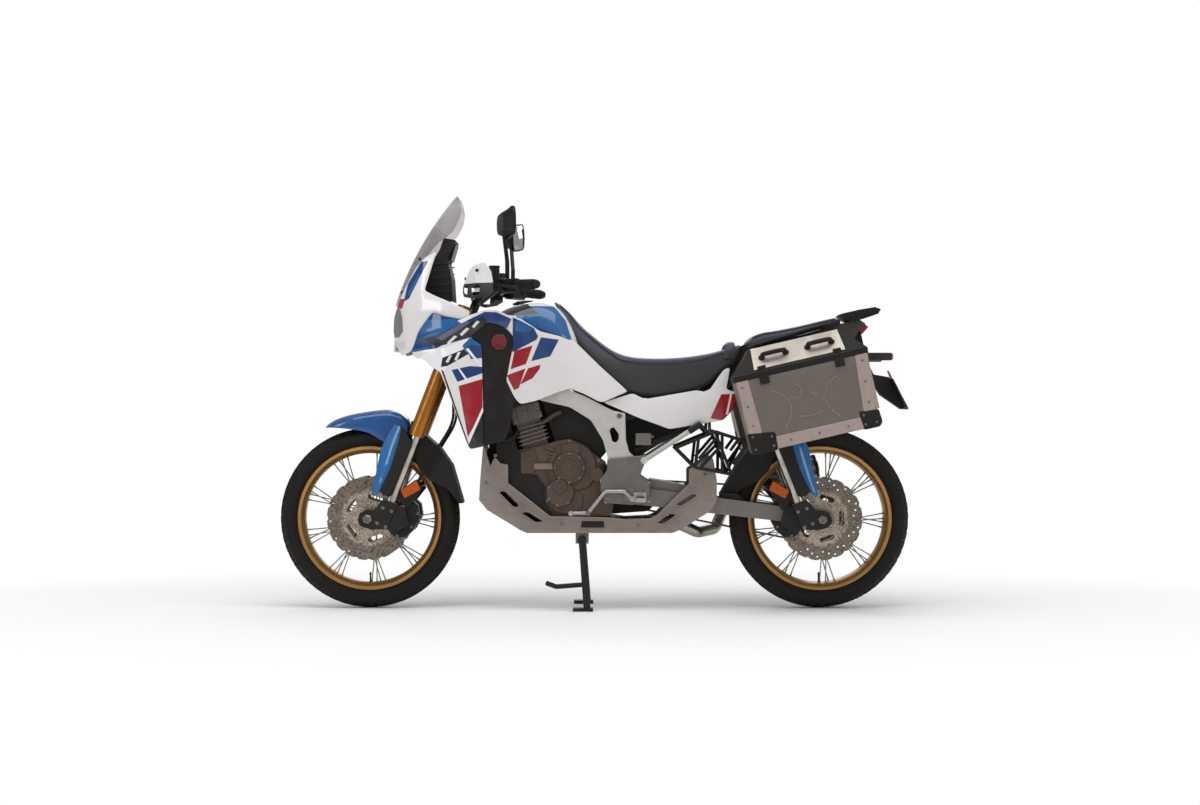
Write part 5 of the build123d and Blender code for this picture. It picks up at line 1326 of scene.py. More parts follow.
class MOTORCYCLE_OT_bodywork(bpy.types.Operator):
    """Painted panels of the fairing, knees and tail, with the tank and mudguards"""
    bl_idname = "motorcycle.bodywork"
    bl_label = "Bodywork"

    def panels(self):
        skin = size("skin")
        # name, outline, half width, finish, replaced node, crown, relief
        table = (("nose_sides", NOSE, nose_half, "nose paint", "nose_cowl", 5, None),
                 ("upper_wings", UPPER, wing_half, "wing paint", "upper_fairings", 3, upper_relief),
                 ("lower_wings", LOWER, wing_half, "lower paint", "lower_fairings", 5, lower_relief),
                 ("shroud_shells", SHROUD, wing_half, "black plastic", "radiator_shrouds", 6, None),
                 ("knee_shells", KNEE, knee_half, "knee paint", "knee_panels", 9, knee_relief),
                 ("cover_shells", COVER, lambda *_: COVER_HALF, "tail paint", "side_covers", 8, None))
        for name, outline, half_at, paint, node, crown, relief in table:
            shape = Shape(paint)
            shape.panel(outline, half_at, skin, crown, relief=relief)
            if name == "nose_sides":
                self.nose_front(shape)
            shape.mirror().build(name, "chassis", [node], outward=False)

    def nose_front(self, shape):
        """The middle of the nose, between the lamp and the screen."""
        def place(u, v):
            half = -4 + u * NOSE_HALF
            bow = (half / NOSE_HALF) ** 2 * 44
            return (along([(0, -746), (0.3, -743), (1, -704)], v) + bow, -half, 1062 + v * 84 - bow * 0.25)
        shape.sheet(place, 14, 8, 4)

    def tank(self):
        # x, low edge, shoulder height, top height, shoulder half, top half
        stations = [(-384, 1000, 1030, 1084, 112, 46), (-350, 978, 1026, 1106, 148, 78),
                    (-300, 952, 1024, 1126, 164, 96), (-250, 914, 1020, 1140, 168, 104),
                    (-200, 880, 1012, 1146, 166, 104), (-150, 850, 1000, 1132, 160, 96),
                    (-110, 826, 984, 1100, 150, 88), (-76, 810, 955, 1048, 136, 80), (-50, 798, 930, 1000, 120, 70)]
        shape = Shape("tank paint", "satin plastic", "bolt steel")
        rings = []
        for x, low, shoulder, top, half, top_half in stations:
            side = [(0, low), (half * 0.6, low), (half * 0.97, low + 6), (half, (low + shoulder) / 2), (half, shoulder),
                    (half * 0.4 + top_half * 0.6 + 12, shoulder * 0.35 + top * 0.65), (top_half, top - 6),
                    (top_half * 0.55, top + 1), (0, top + 2)]
            rings.append([(x, y, z) for y, z in side] + [(x, -y, z) for y, z in side[-2:0:-1]])
        shape.rings(rings)
        shape.build("fuel_tank", "chassis", ["tank"], subdivide=2)
        cap = Shape("satin plastic", "bolt steel")
        cap.turned((-262, 0, 1134), (-0.06, 0, 1), [(0, 44), (6, 44), (8, 42), (8, 34), (9, 33), (12, 33), (13, 31),
                                                (13, 0)], 48)
        cap.use("bolt steel").turned((-262, 0, 1146), (-0.06, 0, 1), [(0, 12), (2.5, 12), (3, 10), (3, 0)], 24)
        cap.build("filler_cap", "chassis")

    def mudguard(self):
        """The front mudguard's beak over the tyre."""
        sheet = 3.2
        # x, top, rim height, half width
        sections = [(-1009, 677, 672, 30), (-985, 697, 674, 48), (-950, 712, 671, 58), (-911, 723, 667, 63),
                    (-865, 731, 660, 65), (-832, 736, 650, 66), (-799, 740, 625, 66), (-770, 741, 610, 66),
                    (-747, 738, 600, 66), (-724, 732, 618, 66), (-704, 716, 636, 66), (-690, 702, 655, 66)]
        shape = Shape("blue paint")
        outer, inner = [], []
        for x, top, rim, half in sections:
            depth = top - rim
            arc = [(0, top), (half * 0.35, top - 1.5), (half * 0.7, top - 7), (half * 0.93, top - min(18, depth * 0.6)),
                   (half, top - min(34, depth * 0.85)), (half, rim)]
            outer.append([(x, -y, z) for y, z in arc[::-1]] + [(x, y, z) for y, z in arc[1:]])
            inner.append([(x, -(y - sheet if y else 0), z - (0 if z == rim else sheet)) for y, z in arc[::-1]]
                         + [(x, y - sheet, z - (0 if z == rim else sheet)) for y, z in arc[1:]])
        shape.rings([[*a, *b[::-1]] for a, b in zip(outer, inner)])
        shape.build("beak_mudguard", "steering", ["front_fender"], subdivide=1)

    def leg_guards(self):
        """The painted plates in front of the legs, front and rear."""
        outline = [(-741, 687), (-715, 676), (-719, 642), (-731, 600), (-756, 517), (-793, 443), (-808, 421),
                   (-826, 421), (-815, 480), (-797, 572), (-789, 601), (-778, 627)]
        for name, flip, half, body, replaced in (("fork_shields", 1, 143, "steering", ()),
                                                 ("strut_shields", -1, 184, "chassis", ["rear_leg_guards"])):
            def bowed(x, z, flip=flip, half=half):
                """Bowed round the leg: deepest over the tube, turning in ahead of it."""
                leg = FRONT_AXLE.x + (z - FRONT_AXLE.z) * LEG_SLOPE + 61
                ahead = leg - x * flip
                return half - 8 - 0.010 * max(0.0, ahead) ** 1.75 + min(0, 18 + ahead) * 0.25
            shape = Shape("guard paint")
            shape.panel([(x * flip, z) for x, z in outline], bowed, 5, 4, 10, 8)
            shape.mirror().build(name, body, replaced, outward=False)

    def execute(self, context):
        self.panels()
        self.tank()
        self.mudguard()
        self.leg_guards()
        caps = Shape("black plastic", "cap red")
        for side in (-1, 1):
            for name, half, profile in (
                    ("black plastic", 241, [(0, 38), (4, 38), (6, 36), (6, 31), (5, 30), (5, 0)]),
                    ("cap red", 245, [(0, 28.5), (3, 28.5), (4.5, 27), (4.5, 21), (3.5, 20), (3.5, 13), (4.5, 12),
                                      (4.5, 0)])):
                caps.use(name).turned((-347, side * half, 988), (0, side, 0), profile, 40)
        caps.build("shroud_caps", "chassis")
        return {"FINISHED"}


# ---- seats
STITCH_PITCH = 8.0


def cushion_ring(top, bottom, top_half, low_half, crown):
    """A closed ring between a top and a bottom point of the side view, crowned on top and full at the flanks."""
    top, bottom = Vector((top[0], 0, top[1])), Vector((bottom[0], 0, bottom[1]))
    side = [(0.0, 0.0), (0.0, 0.78), (0.05, 0.97), (0.35, 1.0), (0.68, 0.55), (0.90, 0.10), (1.0, -0.12), (1.0, -0.45),
            (1.0, -1.0)]
    points = []
    for lift, blend in side:
        if lift == 0.0:
            half = low_half * blend
            place = bottom
        elif blend < 0:
            half = top_half * (1 + blend)
            place = top + (top - bottom).normalized() * crown * (1 - (half / top_half) ** 2)
        else:
            half = top_half + (low_half - top_half) * blend
            place = bottom.lerp(top, lift)
        points.append(place + Vector((0, half, 0)))
    return points + [Vector((p.x, -p.y, p.z)) for p in points[-2:0:-1]]


class MOTORCYCLE_OT_seats(bpy.types.Operator):
    """Rider's and pillion's seats in stitched vinyl"""
    bl_idname = "motorcycle.seats"
    bl_label = "Seats"

    # cross sections: top point, bottom point, half width on top, half width below
    RIDER = [((-152, 1142), (-146, 1130), 26, 34), ((-128, 1130), (-128, 1106), 46, 62),
             ((-90, 1095), (-98, 1066), 60, 84), ((-53, 1048), (-78, 1008), 72, 102), ((-9, 1012), (-46, 952), 84, 120),
             ((40, 972), (18, 880), 100, 134), ((100, 936), (96, 800), 116, 139), ((180, 926), (180, 780), 126, 140),
             ((270, 926), (270, 780), 131, 140), ((350, 932), (350, 800), 133, 140), ((420, 943), (415, 822), 133, 140),
             ((478, 958), (462, 876), 131, 140), ((524, 974), (504, 900), 126, 138), ((550, 982), (520, 910), 116, 130)]
    PILLION = [((558, 982), (566, 968), 96, 108), ((584, 1008), (596, 975), 104, 116),
               ((624, 1024), (640, 986), 108, 119), ((680, 1031), (690, 1000), 108, 120),
               ((760, 1047), (768, 1020), 106, 120), ((834, 1065), (842, 1042), 102, 118),
               ((892, 1079), (898, 1060), 94, 110), ((918, 1078), (920, 1068), 84, 98)]

    def cushion(self, name, stations, node, crown):
        """A padded seat with piping and a row of stitches along each upper edge."""
        shape = Shape("seat vinyl")
        shape.rings([cushion_ring(top, bottom, high, low, crown) for top, bottom, high, low in stations])
        made = shape.build(name, "chassis", [node], subdivide=2, angle=radians(80))
        seam = []
        for top, bottom, high, low in stations[1:-1]:
            place = Vector((bottom[0], 0, bottom[1])).lerp(Vector((top[0], 0, top[1])), 0.93)
            seam.append(place + Vector((0, -(high + (low - high) * 0.16), 0)))
        piping = Shape("seat vinyl")
        piping.tube(seam, 2.2, 8, 8)
        piping.mirror().build(name + "_piping", "chassis")
        for hand, side in (("left", 1), ("right", -1)):
            stitch = Shape("seat vinyl")
            stitch.turned((-2.2, 0, 0), (1, 0, 0), [(0, 0.5), (0.8, 0.9), (3.6, 0.9), (4.4, 0.5)], 6)
            path = [Vector((p.x, p.y * side, p.z)) + Vector((0, 7.5 * side, 3.6)) for p in smooth_path(seam, 8)]
            line, reach = traced(path)
            grown(f"{name}_stitches_{hand}", "chassis", path_tree, "grey plastic", stitch, line,
                  Count=int(reach / STITCH_PITCH))

    def execute(self, context):
        self.cushion("rider_cushion", self.RIDER, "rider_seat", 6)
        self.cushion("pillion_cushion", self.PILLION, "pillion_seat", 5)
        strap = Shape("seat vinyl")
        strap.tube([(498, -136, 930), (500, -131, 962), (503, -100, 980), (506, 0, 986), (503, 100, 980),
                    (500, 131, 962), (498, 136, 930)], 9, 10, 6)
        for vert in strap.mesh.verts:
            vert.co.x = 502 + (vert.co.x - 502) * 1.9
        strap.build("seat_strap", "chassis")
        return {"FINISHED"}




# ---- frame, skid plate and stand
SPAR = [(-330, 955), (-300, 862), (-200, 775), (-90, 750), (-13, 702), (32, 628), (50, 561), (146, 569), (128, 584),
        (116, 628), (113, 727), (65, 738), (-35, 790), (-90, 812), (-240, 900)]
PIVOT = [(50, 561), (46, 517), (21, 480), (24, 443), (39, 396), (139, 390), (205, 400), (205, 473), (168, 499),
         (198, 573), (146, 569)]
SKID_EDGE = [(434, 569), (352, 517), (352, 466), (231, 348), (205, 337), (113, 333), (65, 340), (-164, 344),
             (-322, 469), (-322, 536), (-348, 539), (-367, 561), (-385, 525), (-411, 609)]
SKID_FACE = 139, 141.6  # the skid plate's side, and its raised edges
SKID_SLOTS = [[(-352, 436), (-332, 440), (-276, 386), (-296, 380)],
              [(-270, 360), (-246, 362), (-190, 328), (-216, 325)],
              [(301, 390), (320, 386), (379, 424), (360, 430)], [(232, 322), (256, 320), (300, 352), (276, 356)]]


class MOTORCYCLE_OT_frame(bpy.types.Operator):
    """Main frame, skid plate, stand, stays and foot controls"""
    bl_idname = "motorcycle.frame"
    bl_label = "Frame"

    def skid(self):
        """Rolled edges, slots, folds and a grille on the skid plate, with a black sheet of painted shade behind the
        grille's bars.
        """
        shape = Shape("guard metal", "black metal")
        for low, high in zip(SKID_EDGE, SKID_EDGE[1:]):
            for half in (-138, 138):
                shape.rod((low[0], half, low[1]), (high[0], half, high[1]), 3.4, 8)
        for hole in SKID_SLOTS:
            ring = rounded(anticlockwise(hole), 8)
            shape.plate([inset(ring, -7), ring], *SKID_FACE, 1.2)
        shape.plate([rounded([(-58, 300), (44, 300), (40, 334), (-54, 334)], 6),
                     rounded([(-50, 305), (37, 305), (34, 329), (-47, 329)], 4)], *SKID_FACE, 1.2)
        for x in range(-46, 34, 7):
            shape.use("black metal").box((x, -141, 306), (x + 3, -139.5, 328), 0)
        # a black sheet behind the bars: painted shade of the grille's openings
        shape.use("black metal").box((-49, -140.4, 305), (36, -139.6, 329), 0)
        shape.use("guard metal")
        for low, high in ((-276, -256), (316, 296)):  # folds of the sheet
            shape.rod((low, -140, 300), (high, -140, 345), 1.6, 6)
        shape.mirror().build("skid_trim", "chassis")

    def plates(self):
        """The frame's spars, each with its window, and the pivot plates."""
        spars = Shape("frame paint")
        window = [(72 + 17 * cos(a) - 6 * sin(a), 647 + 27 * sin(a) + 5 * cos(a)) for a in around(20)]
        spars.plate([rounded(SPAR, 14), window], 152, 160, 4)
        spars.mirror().build("spar_shells", "chassis")
        pivots = Shape("pivot alloy", "black metal")
        pivots.plate([rounded(PIVOT, 12)], 154, 162, 3)
        pivots.plate([circle(130, 420, 30)], 160, 166, 3)
        pivots.mirror().build("pivot_plates", "chassis")

    def frame_bolts(self):
        places = {6: [(60, -162, 540), (52, -162, 418), (-366, -140, 572), (-400, -140, 470), (408, -140, 500),
                      (-120, -140, 318), (160, -140, 312)],
                  7: [(98, -162, 507), (180, -162, 440), (-270, -158, 862)], 9: [(92, -160, 717)],
                  12: [(130, -166, 420)]}
        for radius, points in places.items():
            bolts(f"frame_bolts_{radius}", "chassis", flanks(points), radius)

    def pegs_and_stand(self):
        """Rubbers and hangers of the pegs, and the stand's spring."""
        rubbers = Shape("grip rubber", "pivot alloy")
        for x in range(156, 186, 6):
            for side in range(184, 244, 8):
                rubbers.box((x, -side - 4, 416), (x + 3.5, -side, 421), 0.8)
        rubbers.use("pivot alloy").box((152, -161, 610), (209, -128, 654), 4)
        rubbers.rod((209, -146, 640), (219, -146, 640), 6)
        rubbers.turned((-24, -189, 360), LEFT, [(0, 9), (3, 9), (4, 8)], 16)
        rubbers.mirror().build("peg_rubbers", "chassis")
        spring = Shape("chain steel")
        turns = [(-50 + 6 * cos(a) + a * 0.12, -70 - 4 * sin(a), 250 - a * 1.6) for a in np.linspace(0, 22 * pi, 200)]
        spring.tube(turns, 1.3, 6, 1)
        spring.build("stand_spring", "centre_stand")

    def execute(self, context):
        paint_nodes(main_frame="frame paint", skid_plate="guard metal", centre_stand="black metal",
                    subframe="black metal", foot_controls="lever steel")
        self.plates()
        self.skid()
        self.frame_bolts()
        self.pegs_and_stand()
        return {"FINISHED"}


# ---- engine and exhaust
CRANK = [(-196, 606), (-279, 591), (-277, 499), (-223, 495), (-186, 455), (-182, 400), (-160, 346), (62, 346),
         (70, 380), (70, 480), (40, 545), (20, 560), (-31, 600), (-90, 632), (-142, 624)]
BLOCK_UP = Vector((-0.2873, 0, 0.9578))
BLOCK_ACROSS = Vector((0.9578, 0, 0.2873))


def block_point(across, side, up):
    return Vector((-206, side, 606)) + BLOCK_ACROSS * across + BLOCK_UP * up


CHAIN_SIDE = 91.0
SPROCKETS = (Vector((22, CHAIN_SIDE, 440)), 43.0), (Vector((840, CHAIN_SIDE, 336)), 103.0)


class MOTORCYCLE_OT_engine(bpy.types.Operator):
    """Engine cases, covers, cylinder block, radiator, exhaust and chain"""
    bl_idname = "motorcycle.engine"
    bl_label = "Engine"

    def chain(self):
        """Links round the line over both sprockets."""
        link = Shape("chain steel")
        half = size("chain_pitch") / 2
        for side in (-1, 1):
            link.box((-half - 3, side * 4.5 - 0.9, -3.6), (half - 3, side * 4.5 + 0.9, 3.6), 0.8)
        link.rod((-half, -6, 0), (-half, 6, 0), 2.4, 8)
        (front, front_radius), (rear, rear_radius) = SPROCKETS
        run = rear - front
        lean = atan2(run.z, run.x)
        spread = atan2(rear_radius - front_radius, run.length)
        path = []
        for centre, radius, hand, steps in ((front, front_radius, 1, 32), (rear, rear_radius, -1, 64)):
            for k in range(steps + 1):
                a = lean + hand * (pi / 2 + spread) + (pi - hand * 2 * spread) * k / steps
                path.append(centre + Vector((cos(a), 0, sin(a))) * radius)
        path.append(path[0])
        line, reach = traced(path)
        grown("drive_chain", "chassis", path_tree, "chain steel", link, line, ["chain"],
              Count=int(reach / size("chain_pitch")))

    def covers(self):
        """Turned covers, raised plates, ribs and bolts on both sides of the engine."""
        shape = Shape("engine paint", "engine light")
        for x, z, profile in (
                (-93, 525, [(0, 60), (18, 60), (24, 57), (27, 52), (27, 46), (30, 46), (31, 43), (36, 43), (38, 41),
                            (38, 36), (35, 34), (35, 12), (37, 10), (38, 8), (38, 0)]),
                (-127, 432, [(0, 52), (15, 52), (21, 49), (24, 43), (24, 0)]),
                (-127, 459, [(0, 25), (29, 25), (32, 22), (32, 14), (30, 13), (30, 0)])):
            shape.turned((x, -112.3, z), LEFT, profile, 48)
        shape.mirror().build("side_covers_turned", "chassis", ["engine_covers"])
        cases = Shape("engine paint", "engine light", "black metal")
        for outline, corner, inner, outer, edge in (
                ([(-171, 480), (-180, 540), (-150, 592), (-120, 620), (-60, 622), (-18, 598), (6, 560), (10, 500),
                  (-15, 452), (-60, 440), (-110, 440), (-150, 452)], 22, 111, 119, 5),
                ([(-176, 440), (-150, 452), (-60, 442), (-40, 420), (-44, 372), (-80, 352), (-140, 354),
                  (-170, 386)], 16, 111, 117, 4),
                ([(-276, 586), (-222, 596), (-206, 540), (-222, 500), (-274, 502)], 8, 111, 119, 4),
                ([(-128, 566), (-120, 614), (-60, 618), (-46, 590), (-60, 566)], 10, 118, 125, 4)):
            cases.plate([rounded(outline, corner)], inner, outer, edge)
        for k in range(7):  # cooling ribs on the lower cover
            x = -160 + k * 18
            cases.rod((x, -116, 362 + abs(k - 3) * 3), (x - 6, -116, 424), 2.6, 8)
        cases.use("engine light").box((-224, -128, 520), (-154, -112, 542), 4)
        cases.use("engine paint")
        for k in range(4):
            cases.rod((-196 + 14 * k, -114, 606 - 18 * k), (-150 + 12 * k, -118, 590 - 22 * k), 4.5, 10)
        cases.use("black metal").turned((28, -112, 520), LEFT, [(0, 20), (6, 20), (8, 17), (12, 8), (12, 0)], 24)
        cases.mirror().build("case_details", "chassis")
        spots = [(x, -139, z) for x, z in circle(-93, 525, 52, 8)]
        spots += [(x, -135, z) for x, z in circle(-127, 432, 46, 7)[2:]]
        spots += [(x, -112, z) for x, z in inset(CRANK, 8)[1::2]]
        bolts("cover_bolts", "chassis", flanks(spots), 4.5)

    def cylinder(self):
        """Cylinder block, head and cam cover, with pipes and radiator hoses."""
        shape = Shape("block grey", "engine paint", "black plastic")
        for low, high, x0, x1, half, name in (
                (0, 18, -58, 34, 95, "engine paint"), (100, 128, -68, 44, 106, "block grey"),
                (131, 162, -68, 44, 106, "block grey"), (162, 190, -56, 32, 94, "engine paint")):
            outline = rounded([(x0, low), (x1, low), (x1, high), (x0, high)], 5)
            shape.use(name).rings([[block_point(a, side, u) for a, u in inset(outline, cut)] for side, cut in
                                   ((-half - 1, 3), (-half + 2, -1), (half - 2, -1), (half + 1, 3))])
        for k in range(2):  # cam cover ribs
            across = -40 + 40 * k
            shape.use("block grey").rod(block_point(across, -107, 104), block_point(across, -107, 158), 4, 8)
        for name, radius, sides, line in (
                ("engine paint", 8.8, 12, [(-214, -96, 684), (-180, -106, 700), (-150, -108, 722), (-126, -104, 732)]),
                ("black plastic", 12, 14, [(-366, -118, 640), (-330, -128, 628), (-300, -126, 640), (-285, -112, 660)]),
                ("black plastic", 12, 14, [(-366, -110, 820), (-340, -120, 800), (-320, -116, 760)])):
            shape.use(name).tube(line, radius, sides)
        shape.mirror().build("block_details", "chassis")
        places = ((-60, 108), (36, 108), (-60, 154), (36, 154), (-12, 130))
        bolts("head_bolts", "chassis", flanks([block_point(across, -107, up) for across, up in places]), 5.0)

    def bay(self):
        """Dark plates that close the bay behind the cylinders, the spars and the seat, partly real black parts and
        partly painted shade, with hoses and loom.
        """
        shape = Shape("black plastic", "grip rubber")
        # thin black sheets where the bay lies in shadow: painted shade, partly standing for real black parts
        front = [(-396, 640), (-345, 700), (-300, 790), (-126, 790), (-140, 600), (-200, 520), (-330, 486), (-394, 548)]
        rear = [(30, 690), (-96, 828), (40, 806), (148, 804), (150, 738), (300, 690), (345, 672), (196, 584),
                (146, 552), (60, 566)]
        seat_base_and_shade = [(384, 812), (470, 905), (520, 960), (566, 985), (566, 930), (505, 852), (440, 806)]
        linkage_and_shade = [(40, 420), (110, 438), (190, 424), (234, 396), (200, 362), (60, 352)]
        for outline, side in ((front, 18), (rear, 46), (seat_base_and_shade, 96), (linkage_and_shade, 52)):
            for hand in (-1, 1):
                shape.prism(rounded(outline, 10), hand * side - 2, hand * side + 2)
            for k in range(3):  # ribs across each sheet of painted shade
                (x0, z0), (x1, z1) = outline[k], outline[-2 - k]
                for hand in (-1, 1):
                    shape.rod((x0 * 0.8 + x1 * 0.2, hand * (side + 2), z0 * 0.8 + z1 * 0.2),
                              (x0 * 0.2 + x1 * 0.8, hand * (side + 2), z0 * 0.2 + z1 * 0.8), 3, 8)
        shape.use("grip rubber")
        hoses = (([(-372, 40, 700), (-330, 46, 640), (-270, 40, 606), (-230, 30, 600)], 11, 12),
                 ([(-160, 52, 770), (-168, 60, 700), (-150, 58, 640), (-120, 50, 600)], 5, 8))
        for hand in (-1, 1):
            for line, radius, sides in hoses:
                shape.tube([(x, hand * y, z) for x, y, z in line], radius, sides)
        shape.build("bay_plates", "chassis")

    def silencer(self):
        """Two bands, an end cap and an outlet."""
        can = Shape("black metal", "exhaust steel")
        low, high = Vector((545, 236, 450)), Vector((850, 236, 520))
        run = (high - low).normalized()
        for reach in (26, 268):
            can.turned(low + run * reach, run, [(0, 48), (1, 50), (15, 50), (16, 48)], 40)
        can.turned(high - run * 6, run, [(0, 48), (6, 48.6), (12, 46), (13, 30), (8, 27), (-20, 26), (-20, 0)], 40)
        can.use("exhaust steel").turned(high - run * 6, run, [(-4, 22), (16, 22), (17, 20), (-3, 20)], 32)
        can.build("silencer_bands", "chassis")

    def execute(self, context):
        # the airbox and engine shields are black partly as painted shade: they close the gaps behind the engine that
        # lie in shadow
        paint_nodes(crankcase="engine paint", cylinders="block grey", radiator="core metal", exhaust="exhaust steel",
                    airbox="black plastic", engine_shields="black plastic")
        self.covers()
        self.cylinder()
        self.chain()
        self.bay()
        self.silencer()
        return {"FINISHED"}




# ---- cockpit
GRIP_START = Vector((-283.9, -317.6, 1193.6))
GRIP_RUN = Vector((0.5661, -0.8238, -0.0271))
CONTROL_START = GRIP_START - GRIP_RUN * 80
# height along the screen's chord, half width
SCREEN_EDGE = [(62, 44), (75, 54), (88, 62), (120, 81), (153, 95), (188, 106), (224, 114), (260, 119), (295, 124),
               (320, 128), (345, 135), (372, 146), (400, 151), (430, 150), (460, 144), (490, 131),
               (512, 108), (524, 86), (530, 68)]


def screen_surface():
    """The screen's front surface as point_at(u, v); the middle line is an arc, and so is each cross section."""
    foot, belly, top = (Vector((x, 0, z)) for x, z in ((-763, 1068), (-673, 1308), (-523, 1533)))
    a, b = belly - foot, top - foot
    c = Matrix(((a.x, a.z), (b.x, b.z))).inverted() @ Vector((a.length_squared / 2, b.length_squared / 2))
    centre = foot + Vector((c.x, 0, c.y))
    radius = (foot - centre).length
    chord = b.normalized()
    first = atan2(foot.z - centre.z, foot.x - centre.x)
    last = atan2(top.z - centre.z, top.x - centre.x)
    bow = (165 ** 2 + 105 ** 2) / 210  # radius of the cross section's arc
    foot_up, top_up = SCREEN_EDGE[0][0], SCREEN_EDGE[-1][0]

    def point_at(u, v):
        up = foot_up + (top_up - foot_up) * v
        half = (1 - 2 * u) * along(SCREEN_EDGE, up)
        sag = bow - sqrt(bow * bow - half * half)
        low, high = -0.1, 1.4
        for _ in range(24):
            mid = (low + high) / 2
            turn = first + (last - first) * mid
            out = Vector((cos(turn), 0, sin(turn)))
            place = centre + out * (radius - sag)
            low, high = (mid, high) if (place - foot).dot(chord) < up else (low, mid)
        return place + Vector((0, half, 0))
    return point_at


class MOTORCYCLE_OT_cockpit(bpy.types.Operator):
    """Screen, dash, lamp, handlebar, controls, mirrors and hand guards"""
    bl_idname = "motorcycle.cockpit"
    bl_label = "Cockpit"

    def screen(self):
        surface = screen_surface()
        shape = Shape("smoky screen")
        shape.sheet(surface, 20, 48, 3.6)
        shape.build("screen_sheet", "chassis", ["windscreen"])
        screws = []
        for u, v in ((0.16, 0.12), (0.84, 0.12), (0.12, 0.42), (0.88, 0.42)):
            place = surface(u, v)
            out = (surface(u + 0.02, v) - place).cross(surface(u, v + 0.02) - place).normalized()
            screws.append((tuple(place - out * 2), tuple(out)))
        bolts("screen_screws", "chassis", screws, 6.0, "satin plastic")

    def mirrors(self):
        shape = Shape("mirror glass", "satin plastic")
        out = Vector((1, 0.26, 0)).normalized()
        across = Vector((0.26, -1, 0.12)).normalized()
        up = out.cross(across) * -1
        middle = Vector((-300, -402, 1412))
        outline = rounded([(-79, -52), (79, -52), (79, 52), (-79, 52)], 40, 6)

        def ring(shrink, lift):
            return [middle + across * a + up * b + out * lift for a, b in inset(outline, shrink)]
        shape.use("mirror glass").rings([ring(6, -2), ring(6, 1.6), ring(7.5, 2.2)])
        shape.use("satin plastic").rings([ring(-0.5, -6), ring(-0.8, 0.5), ring(0.6, 3.2), ring(4, 3.4), ring(5, 0.5)],
                                         False, False)
        shape.mirror().build("mirror_glasses", "steering", outward=True)

    def controls(self):
        """Ridged grips, buttons, reservoir caps and the hand guards' screws."""
        shape = Shape("grip rubber", "satin plastic", "bolt steel", "cap red")
        ridges = [(0, 16)]
        for start in (7.5 * k for k in range(15)):
            ridges += [(start + 1, 17.2), (start + 2.2, 18.5), (start + 5.8, 18.5), (start + 7, 17.2)]
        shape.turned(GRIP_START + GRIP_RUN * 8, GRIP_RUN, ridges + [(114, 16)], 28)
        shape.use("satin plastic").turned(GRIP_START + GRIP_RUN * 131, GRIP_RUN,
                                          [(0, 15), (9, 15), (11, 13), (11, 0)], 20)
        top = CONTROL_START + Vector((-35, -7, 63))
        shape.turned(top, (0, 0, 1), [(0, 19), (0.5, 20.4), (5, 20.4), (6.5, 18.5), (6.5, 0)], 28)
        button_axis = (0.8, 0.5, 0.35)
        for reach, shift, radius, tall in ((22, (19, 12, 14), 6, 7), (44, (19, 12, 12), 7, 5),
                                           (62, (18, 13, -6), 6, 6)):
            shape.turned(CONTROL_START + GRIP_RUN * reach + Vector(shift), button_axis,
                         [(-6, radius), (tall - 1, radius), (tall, radius - 1), (tall, 0)], 16)
        shape.use("cap red").turned(CONTROL_START + GRIP_RUN * 44 + Vector((24, 16, 14)), button_axis,
                                    [(0, 4), (2.6, 4), (3, 0)], 12)
        shape.mirror().build("grip_trim", "steering")
        guard = [((-420, -418, 1240), (-0.5, -0.86, 0)), ((-466, -318, 1214), (-0.95, -0.3, 0))]
        bolts("guard_screws", "steering", both_sides(guard), 5.0, "satin plastic")

    def lamp(self):
        shape = Shape("reflector bowl", "satin plastic")
        for side in (-1, 1):
            shape.use("reflector bowl").turned(
                (-706, side * 46, 1012), (-1, 0, 0),
                [(0, 0), (0, 10), (8, 26), (26, 38), (29, 39), (29, 36), (10, 24), (3, 9), (3, 0)], 36)
            shape.use("satin plastic").turned((-703, side * 46, 1012), (-1, 0, 0),
                                              [(0, 12), (14, 12), (20, 9), (20, 0)], 20)
        shape.box((-704, -112, 962), (-690, 112, 1056), 2)
        shape.box((-742, -5, 962), (-690, 5, 1056), 2)
        shape.build("lamp_bowls", "chassis")

    def execute(self, context):
        paint_nodes(handlebar="black metal", controls="satin plastic", mirrors="satin plastic",
                    hand_guards="guard and arm", dash="black plastic", headlamp="lamp glass", brake_hoses="grip rubber")
        self.screen()
        self.mirrors()
        self.controls()
        self.lamp()
        display = Shape("display glass", "black plastic")
        for half, name, outline in (
                (92, "black plastic", [(-550, 1288), (-524, 1368), (-516, 1366), (-542, 1286)]),
                (84, "display glass", [(-536, 1296), (-518, 1356), (-514, 1355), (-532, 1295)])):
            display.use(name).prism(outline, -half, half)
        display.use("black plastic")
        for k in range(5):  # ribs on the dash's sides
            for side in (-119, 119):
                display.rod((-612 + 4 * k, side, 1176 + 26 * k), (-532, side, 1176 + 26 * k), 2.4, 6)
        display.build("dash_display", "chassis")
        return {"FINISHED"}


